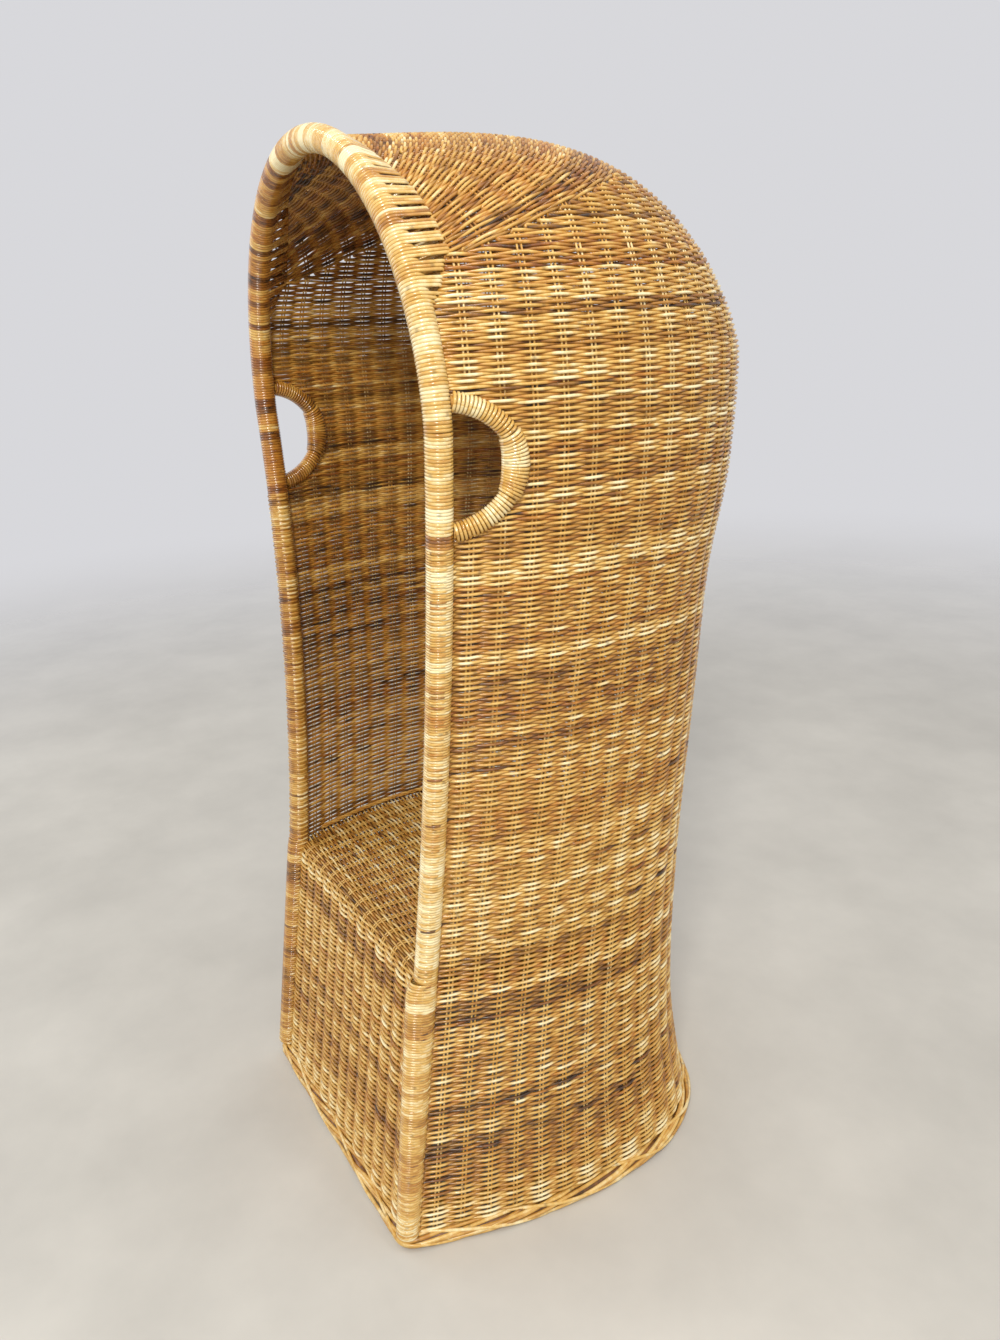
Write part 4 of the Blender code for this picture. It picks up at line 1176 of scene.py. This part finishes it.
def seat_profile():
    """Middle line of the seat's sheet in depth and height: up the apron, over the rail, back."""
    heights = np.linspace(HEM_HEIGHT - 0.002, APRON_TOP, APRON_POINTS)
    angles = np.linspace(0, math.pi / 2, 16)[1:]
    bend = np.stack([ROLL_DEPTH - ROLL_RADIUS * np.cos(angles),
                     APRON_TOP + ROLL_RADIUS * np.sin(angles)], 1)
    depths = np.linspace(ROLL_DEPTH, shell_depth(SEAT_MIDDLE) - 0.004, 120)[1:]
    line = np.concatenate([np.stack([post_depth(heights), heights], 1), bend,
                           np.stack([depths, np.full(len(depths), SEAT_MIDDLE)], 1)])
    run = unit(np.gradient(line, axis=0))
    return line, np.stack([-run[:, 1], run[:, 0]], 1), walked_along(line)


ROLL_DEPTH = float(post_depth(APRON_TOP)) + ROLL_RADIUS
SEAT_SECTION = WALL.place(SHARES, SEAT_MIDDLE)


def seat_reach(depth, height):
    """Half width of the apron, up to the middle of its roll, and of the seat behind that."""
    seat = (np.interp(depth, SEAT_SECTION[:, 1], SEAT_SECTION[:, 0])
            - WEAVE_THICKNESS / 2 - SEAT_GAP)
    return np.where(depth < ROLL_DEPTH, post_half_width(height), seat)


def weave_apron(sizes, name, nodes, slot):
    """Rows of the apron, which carry on from the walls round the posts."""
    bundle = Bundle()
    places = stake_places(SEAT_INTERVALS // 2)
    out, side = -BACK, np.array([1.0, 0.0, 0.0])
    sway = sizes.sway * SEAT_SWAY_SHARE
    for number, height in ROWS:
        if height >= APRON_TOP:
            break
        parity = 1 if number % 2 else -1
        lift = wave(places) * sway * parity + uneven(len(places))
        half = np.stack([post_half_width(height) * (1 - places / places[-1]),
                         post_depth(height) - lift, height + uneven(len(places))], 1)
        half, outs, lift = round_post(height, out * parity, side, sizes.sway, places, half,
                                      np.broadcast_to(out, half.shape), lift)
        line = both_sides(half)
        bundle.add(line, both_sides(outs), sizes.low_weaver * APRON_WIDE_SHARE,
                   sizes.low_weaver * THICK_SHARE,
                   **painted_inner_shade(TONES.lengths(*ROW_TONES[number], len(line)), both_sides(lift) / sway))
    bundle.build(name, nodes, slot, "weaver")


def weave_seat(sizes, nodes, slot):
    """Seat: rows from side to side over pairs of stakes that run down into the apron."""
    line, out, walked = seat_profile()
    rows, stakes = Bundle(), Bundle()
    tones = Tones(SEED + 9, 0.72, 0.1)
    places = stake_places(SEAT_INTERVALS)
    at, parity = walked[APRON_POINTS - 1] + 0.001, -1
    while at < walked[-1]:
        y, z = along_line(line, walked, at)
        oy, oz = along_line(out, walked, at)
        lift = wave(places) * sizes.sway * parity
        points = np.stack([(places / SEAT_INTERVALS * 2 - 1) * seat_reach(y, z), y + oy * lift,
                           z + oz * lift], 1)
        rows.add(points, np.array([0, oy, oz]), sizes.low_weaver * SEAT_WIDE_SHARE,
                 sizes.low_weaver * THICK_SHARE,
                 **painted_inner_shade(tones.lengths(*tones.next(), len(points)), lift / sizes.sway))
        at += SEAT_PITCH
        parity = -parity
    outs = np.insert(out, 0, 0, axis=1)
    for stake in range(1, SEAT_INTERVALS):
        middle = (stake / SEAT_INTERVALS * 2 - 1) * seat_reach(line[:, 0], line[:, 1])
        for shift in (-sizes.stake_gap / 2, sizes.stake_gap / 2):
            points = np.insert(line, 0, middle + shift, axis=1)
            stakes.add(points[::2], outs[::2], sizes.stake / 2, tone=SEAT_STAKE_TONE,
                       warm=STAKE_WARMTH)
    rows.build("seat_weave", nodes, slot, "weaver")
    stakes.build("seat_stakes", nodes, slot, "stake")


def twisted(line, out, strands, wide, high, length, radius, seed, tone, start=0.0):
    """Strands that twist round a line, once in a length; each drifts a little."""
    walked = walked_along(line)
    random = np.random.default_rng(seed)
    made = []
    for k in range(strands):
        knots = random.normal(0, 0.35, max(4, int(walked[-1] / 0.09)))
        knots[-1] = knots[0]
        drift = np.interp(walked, np.linspace(0, walked[-1], len(knots)), knots)
        angle = start + walked / length * math.tau + k * math.tau / strands + drift
        ahead, aside = np.sin(angle)[:, None] * UP, np.cos(angle)[:, None] * out
        made.append((line + aside * wide + ahead * high, aside + ahead, radius,
                     tone + random.normal(0, 0.07), random.uniform(0.1, 0.7)))
    return made


def edge_seat():
    """Three strands twisted together along each side of the seat."""
    shares = np.linspace(0.06, 0.5, 160)
    height = SEAT_HEIGHT + CORD_RISE
    out = WALL.out(shares, height)
    line = WALL.place(shares, height) - out * (WEAVE_THICKNESS / 2 + CORD_INSET)
    for side, word in SIDES:
        bundle = Bundle()
        flip = np.array([side, 1, 1])
        for points, outs, radius, tone, warm in twisted(line, out, 3, CORD_REACH, CORD_REACH,
                                                        CORD_TWIST, CORD_STRAND_RADIUS,
                                                        SEED + 21, 0.6):
            bundle.add(points * flip, outs * flip, radius, tone=tone, warm=warm)
        bundle.build(f"{word}_seat_cord", (f"{word}_seat_edge",), f"{word}_seat_edge", "weaver")


def hem_outline(height, outset, count):
    """Closed line round the foot of the chair, with round corners at the posts."""
    shares = np.linspace(0, 1, 160)
    right = WALL.place(shares, height) + WALL.out(shares, height) * outset
    front = float(post_depth(height)) - outset
    right = right[right[:, 1] > front + 0.004]
    half = right[0, 0] - 0.006
    ahead = np.linspace((-half, front, height), (half, front, height), 40)
    line = np.concatenate([ahead, both_sides(right)])
    closed = np.concatenate([line, line[:1]])
    walked = walked_along(closed)
    line = along_line(closed, walked, np.linspace(0, walked[-1], count, endpoint=False))
    for _ in range(30):
        line = (np.roll(line, 1, 0) + line * 2 + np.roll(line, -1, 0)) / 4
    return line


def braid_hem(sizes, name, nodes, slot):
    """Foot: long strands twisted loosely round each other over a core, all round."""
    bundle = Bundle()
    line = hem_outline(HEM_HEIGHT / 2, HEM_OUTSET, 900)
    out = np.cross(unit(np.roll(line, -1, 0) - np.roll(line, 1, 0)), UP)
    length = walked_along(np.concatenate([line, line[:1]]))[-1]
    bundle.add(line, out, HEM_HEIGHT / 2 - 0.004, HEM_WIDTH / 2 - 0.004, tone=0.15, warm=0.4,
               loop=True)  # the core, painted nearly black as shade for the dark between the strands
    radius = sizes.hem_strand / 2
    wide, high = HEM_WIDTH / 2 - radius, HEM_HEIGHT / 2 - radius
    strands = twisted(line, out, 9, wide, high, length / 5, radius, SEED + 13, 0.7)
    strands += twisted(line, out, 3, wide + 0.0016, high + 0.0016, -length / 5, radius * 0.9,
                       SEED + 14, 0.72, 1.0)
    for points, outs, size, tone, warm in strands:
        points[:, 2] = np.maximum(points[:, 2], size)
        bundle.add(points, outs, size, tone=tone, warm=warm, loop=True)
    bundle.build(name, nodes, slot, "weaver")


# Settings

def length_setting(name, description, default, least, most):
    """One size that a user may change, in metres."""
    return bpy.props.FloatProperty(name=name, description=description, default=default,
                                   min=least, max=most, unit="LENGTH", precision=4)


def colour_setting(name, description, code):
    """One colour that a user may change."""
    return bpy.props.FloatVectorProperty(name=name, description=description, size=3,
                                         default=linear(code), min=0, max=1, subtype="COLOR")


class ChairSizes(bpy.types.PropertyGroup):
    """Sizes of the cane, in metres."""
    weaver: length_setting("Weaver", "Diameter of the round cane of the rows",
                           0.0041, 0.002, 0.006)
    low_weaver: length_setting("Low weaver", "Diameter of the round cane on and below the seat",
                               0.0039, 0.002, 0.006)
    stake: length_setting("Stake", "Diameter of one of the two thin stakes in a pair",
                          0.0028, 0.002, 0.005)
    stake_gap: length_setting("Stake spacing", "Distance between the two stakes of a pair",
                              0.0054, 0.003, 0.012)
    sway: length_setting("Sway", "How far a row swings to each side of the weave's middle",
                         0.0029, 0.001, 0.005)
    binding: length_setting("Binding", "Width of one turn of the arch's binding",
                            0.0042, 0.003, 0.008)
    hem_strand: length_setting("Hem strand", "Diameter of the strands of the hem",
                               0.0062, 0.003, 0.008)


class ChairColours(bpy.types.PropertyGroup):
    """Colours of the cane, the poles and the stage."""
    shadow: colour_setting("Shadow", "Darkest streaks and nodes of the cane", "#3A2614")
    brown: colour_setting("Brown", "Dark cane", "#855A22")
    russet: colour_setting("Russet", "Dark reddish cane", "#8A4F1A")
    tan: colour_setting("Tan", "Middle tone of the cane", "#BE8B3A")
    amber: colour_setting("Amber", "Middle tone of the reddish cane", "#C0802F")
    golden: colour_setting("Golden", "Light cane", "#DFB561")
    pale: colour_setting("Pale", "Lightest cane", "#F8E8B6")
    floor: colour_setting("Floor", "Floor round the chair", "#CBC7BD")
    air: colour_setting("Air", "Light all round the chair", "#F1F1F5")


class FinishFrame(bpy.types.Operator):
    """Give the bare poles of the frame their finish"""
    bl_idname = "wicker.finish_frame"
    bl_label = "Finish Frame"

    def execute(self, context):
        pole = pole_finish("peeled_rattan_pole")
        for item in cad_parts.values():
            item.data.materials.clear()
            item.data.materials.append(pole)
        for key, finish in CANE_FINISHES.items():
            FINISHES[key] = cane_finish(*finish)
        return {"FINISHED"}


class WeaveWalls(bpy.types.Operator):
    """Weave the walls and the back in level rows"""
    bl_idname = "wicker.weave_walls"
    bl_label = "Weave Walls"

    def execute(self, context):
        for number, (low, high) in enumerate(zip(WALL_LEVELS, WALL_LEVELS[1:]), 1):
            weave_level_rows(context.scene.chair_sizes, low, high, f"wall_weave_{number}",
                             WALLS, "back_wall")
        return {"FINISHED"}


class WeaveHood(bpy.types.Operator):
    """Weave the hood: level rows up to the pivot, then rows that fan out from it"""
    bl_idname = "wicker.weave_hood"
    bl_label = "Weave Hood"

    def execute(self, context):
        sizes = context.scene.chair_sizes
        weave_level_rows(sizes, SHOULDER_HEIGHT, PIVOT_HEIGHT, "hood_side_weave", HOOD_NODES,
                         "right_hood_side")
        weave_fan(sizes, "hood_crown_weave", HOOD_NODES, "right_hood_crown")
        return {"FINISHED"}


class LayStakes(bpy.types.Operator):
    """Lay the pairs of stakes inside the weave of the shell"""
    bl_idname = "wicker.lay_stakes"
    bl_label = "Lay Stakes"

    def execute(self, context):
        lay_stakes(context.scene.chair_sizes, "shell_stakes", WALLS + HOOD_NODES, "back_wall")
        return {"FINISHED"}


class WindPosts(bpy.types.Operator):
    """Wind the rows round the front posts, from the floor to the windows"""
    bl_idname = "wicker.wind_posts"
    bl_label = "Wind Posts"

    def execute(self, context):
        wind_posts(0.0, SEAT_HEIGHT - 0.002, "foot_post_wrap",
                   ("left_foot_binding", "right_foot_binding"), "right_foot_binding")
        wind_posts(SEAT_HEIGHT - 0.002, WINDOW_FOOT, "post_wrap", ("arch_binding",),
                   "arch_binding")
        return {"FINISHED"}


class BindArch(bpy.types.Operator):
    """Bind the arch with close turns of glossy cane"""
    bl_idname = "wicker.bind_arch"
    bl_label = "Bind Arch"

    def execute(self, context):
        bind_arch(context.scene.chair_sizes, "arch_wrap", ("arch_binding",), "arch_binding")
        return {"FINISHED"}


class WrapRims(bpy.types.Operator):
    """Wind cane round the rims of both windows"""
    bl_idname = "wicker.wrap_rims"
    bl_label = "Wrap Rims"

    def execute(self, context):
        for side, word in SIDES:
            for part in RIM_PARTS:
                wrap_rim(side, word, *part)
        return {"FINISHED"}


class WeaveSeat(bpy.types.Operator):
    """Weave the seat and the apron, and edge the seat"""
    bl_idname = "wicker.weave_seat"
    bl_label = "Weave Seat"

    def execute(self, context):
        sizes = context.scene.chair_sizes
        weave_apron(sizes, "apron_weave", ("seat_and_apron",), "seat_and_apron")
        weave_seat(sizes, ("seat_and_apron",), "seat_and_apron")
        edge_seat()
        return {"FINISHED"}


class BraidHem(bpy.types.Operator):
    """Twist the strands of the hem round the foot"""
    bl_idname = "wicker.braid_hem"
    bl_label = "Braid Hem"

    def execute(self, context):
        braid_hem(context.scene.chair_sizes, "hem_braid", ("foot_braid",), "foot_braid")
        return {"FINISHED"}


def camera_matrix(place, yaw, pitch, roll):
    """Pose of a camera from its place and three angles in degrees."""
    yaw, pitch, roll = (math.radians(angle) for angle in (yaw, pitch, roll))
    forward = Vector((-math.sin(yaw) * math.cos(pitch), math.cos(yaw) * math.cos(pitch),
                      -math.sin(pitch)))
    right = Vector((math.cos(yaw), math.sin(yaw), 0))
    down = forward.cross(right)
    turned = right * math.cos(roll) + down * math.sin(roll)
    low = down * math.cos(roll) - right * math.sin(roll)
    pose = Matrix((turned, -low, -forward)).transposed().to_4x4()
    pose.translation = place
    return pose


class SetStage(bpy.types.Operator):
    """Set up the pale floor, the soft lights and the camera"""
    bl_idname = "wicker.set_stage"
    bl_label = "Set Stage"

    def execute(self, context):
        scene = context.scene
        scene.view_settings.view_transform = "Standard"
        bpy.ops.object.select_all(action="DESELECT")
        bpy.ops.mesh.primitive_circle_add(vertices=96, radius=FLOOR_RADIUS, fill_type="NGON")
        floor = context.active_object
        floor.name = "floor"
        floor.data.materials.append(floor_finish("matt_floor", scene.chair_colours.floor))
        scene.world = bpy.data.worlds.new("soft_air")
        scene.world.use_nodes = True
        air = scene.world.node_tree.nodes["Background"].inputs
        air["Color"].default_value = (*scene.chair_colours.air, 1)
        air["Strength"].default_value = AIR_STRENGTH
        for name, place, size, power, tint in LAMPS:
            data = bpy.data.lights.new(name, "AREA")
            data.size, data.energy, data.color = size, power, tint
            lamp = bpy.data.objects.new(name, data)
            scene.collection.objects.link(lamp)
            lamp.location = place
            lamp.rotation_euler = (Vector(AIM) - Vector(place)).to_track_quat("-Z", "Y").to_euler()
        data = bpy.data.cameras.new("photo_camera")
        data.sensor_fit, data.sensor_width = "HORIZONTAL", SENSOR_WIDTH
        data.lens = SENSOR_WIDTH * FOCAL_LENGTH / PICTURE_WIDTH
        data.clip_start = 0.05
        scene.camera = bpy.data.objects.new("photo_camera", data)
        scene.collection.objects.link(scene.camera)
        scene.camera.matrix_world = camera_matrix(EYE, *EYE_ANGLES)
        return {"FINISHED"}


class ChairPanel(bpy.types.Panel):
    """Settings and steps of the chair"""
    bl_idname = "VIEW3D_PT_porter_chair"
    bl_label = "Porter Chair"
    bl_space_type = "VIEW_3D"
    bl_region_type = "UI"
    bl_category = "Porter Chair"

    def draw(self, context):
        layout = self.layout
        for group in (context.scene.chair_sizes, context.scene.chair_colours):
            box = layout.box()
            for key in group.__annotations__:
                box.prop(group, key)
        for step in STEPS_IN_ORDER:
            layout.operator(step.bl_idname)


STEPS_IN_ORDER = (FinishFrame, WeaveWalls, WeaveHood, LayStakes, WindPosts, BindArch, WrapRims,
                  WeaveSeat, BraidHem, SetStage)
CLASSES = (ChairSizes, ChairColours) + STEPS_IN_ORDER + (ChairPanel,)


def register():
    """Make the settings, steps and panel known to Blender."""
    for kind in CLASSES:
        bpy.utils.register_class(kind)
    bpy.types.Scene.chair_sizes = bpy.props.PointerProperty(type=ChairSizes)
    bpy.types.Scene.chair_colours = bpy.props.PointerProperty(type=ChairColours)


def unregister():
    """Take the settings, steps and panel out again."""
    del bpy.types.Scene.chair_colours
    del bpy.types.Scene.chair_sizes
    for kind in reversed(CLASSES):
        bpy.utils.unregister_class(kind)


def main():
    """Make the whole chair."""
    register()
    bpy.ops.wicker.finish_frame()
    bpy.ops.wicker.weave_walls()
    bpy.ops.wicker.weave_hood()
    bpy.ops.wicker.lay_stakes()
    bpy.ops.wicker.wind_posts()
    bpy.ops.wicker.bind_arch()
    bpy.ops.wicker.wrap_rims()
    bpy.ops.wicker.weave_seat()
    bpy.ops.wicker.braid_hem()
    bpy.ops.wicker.set_stage()


if __name__ == "__main__":
    main()
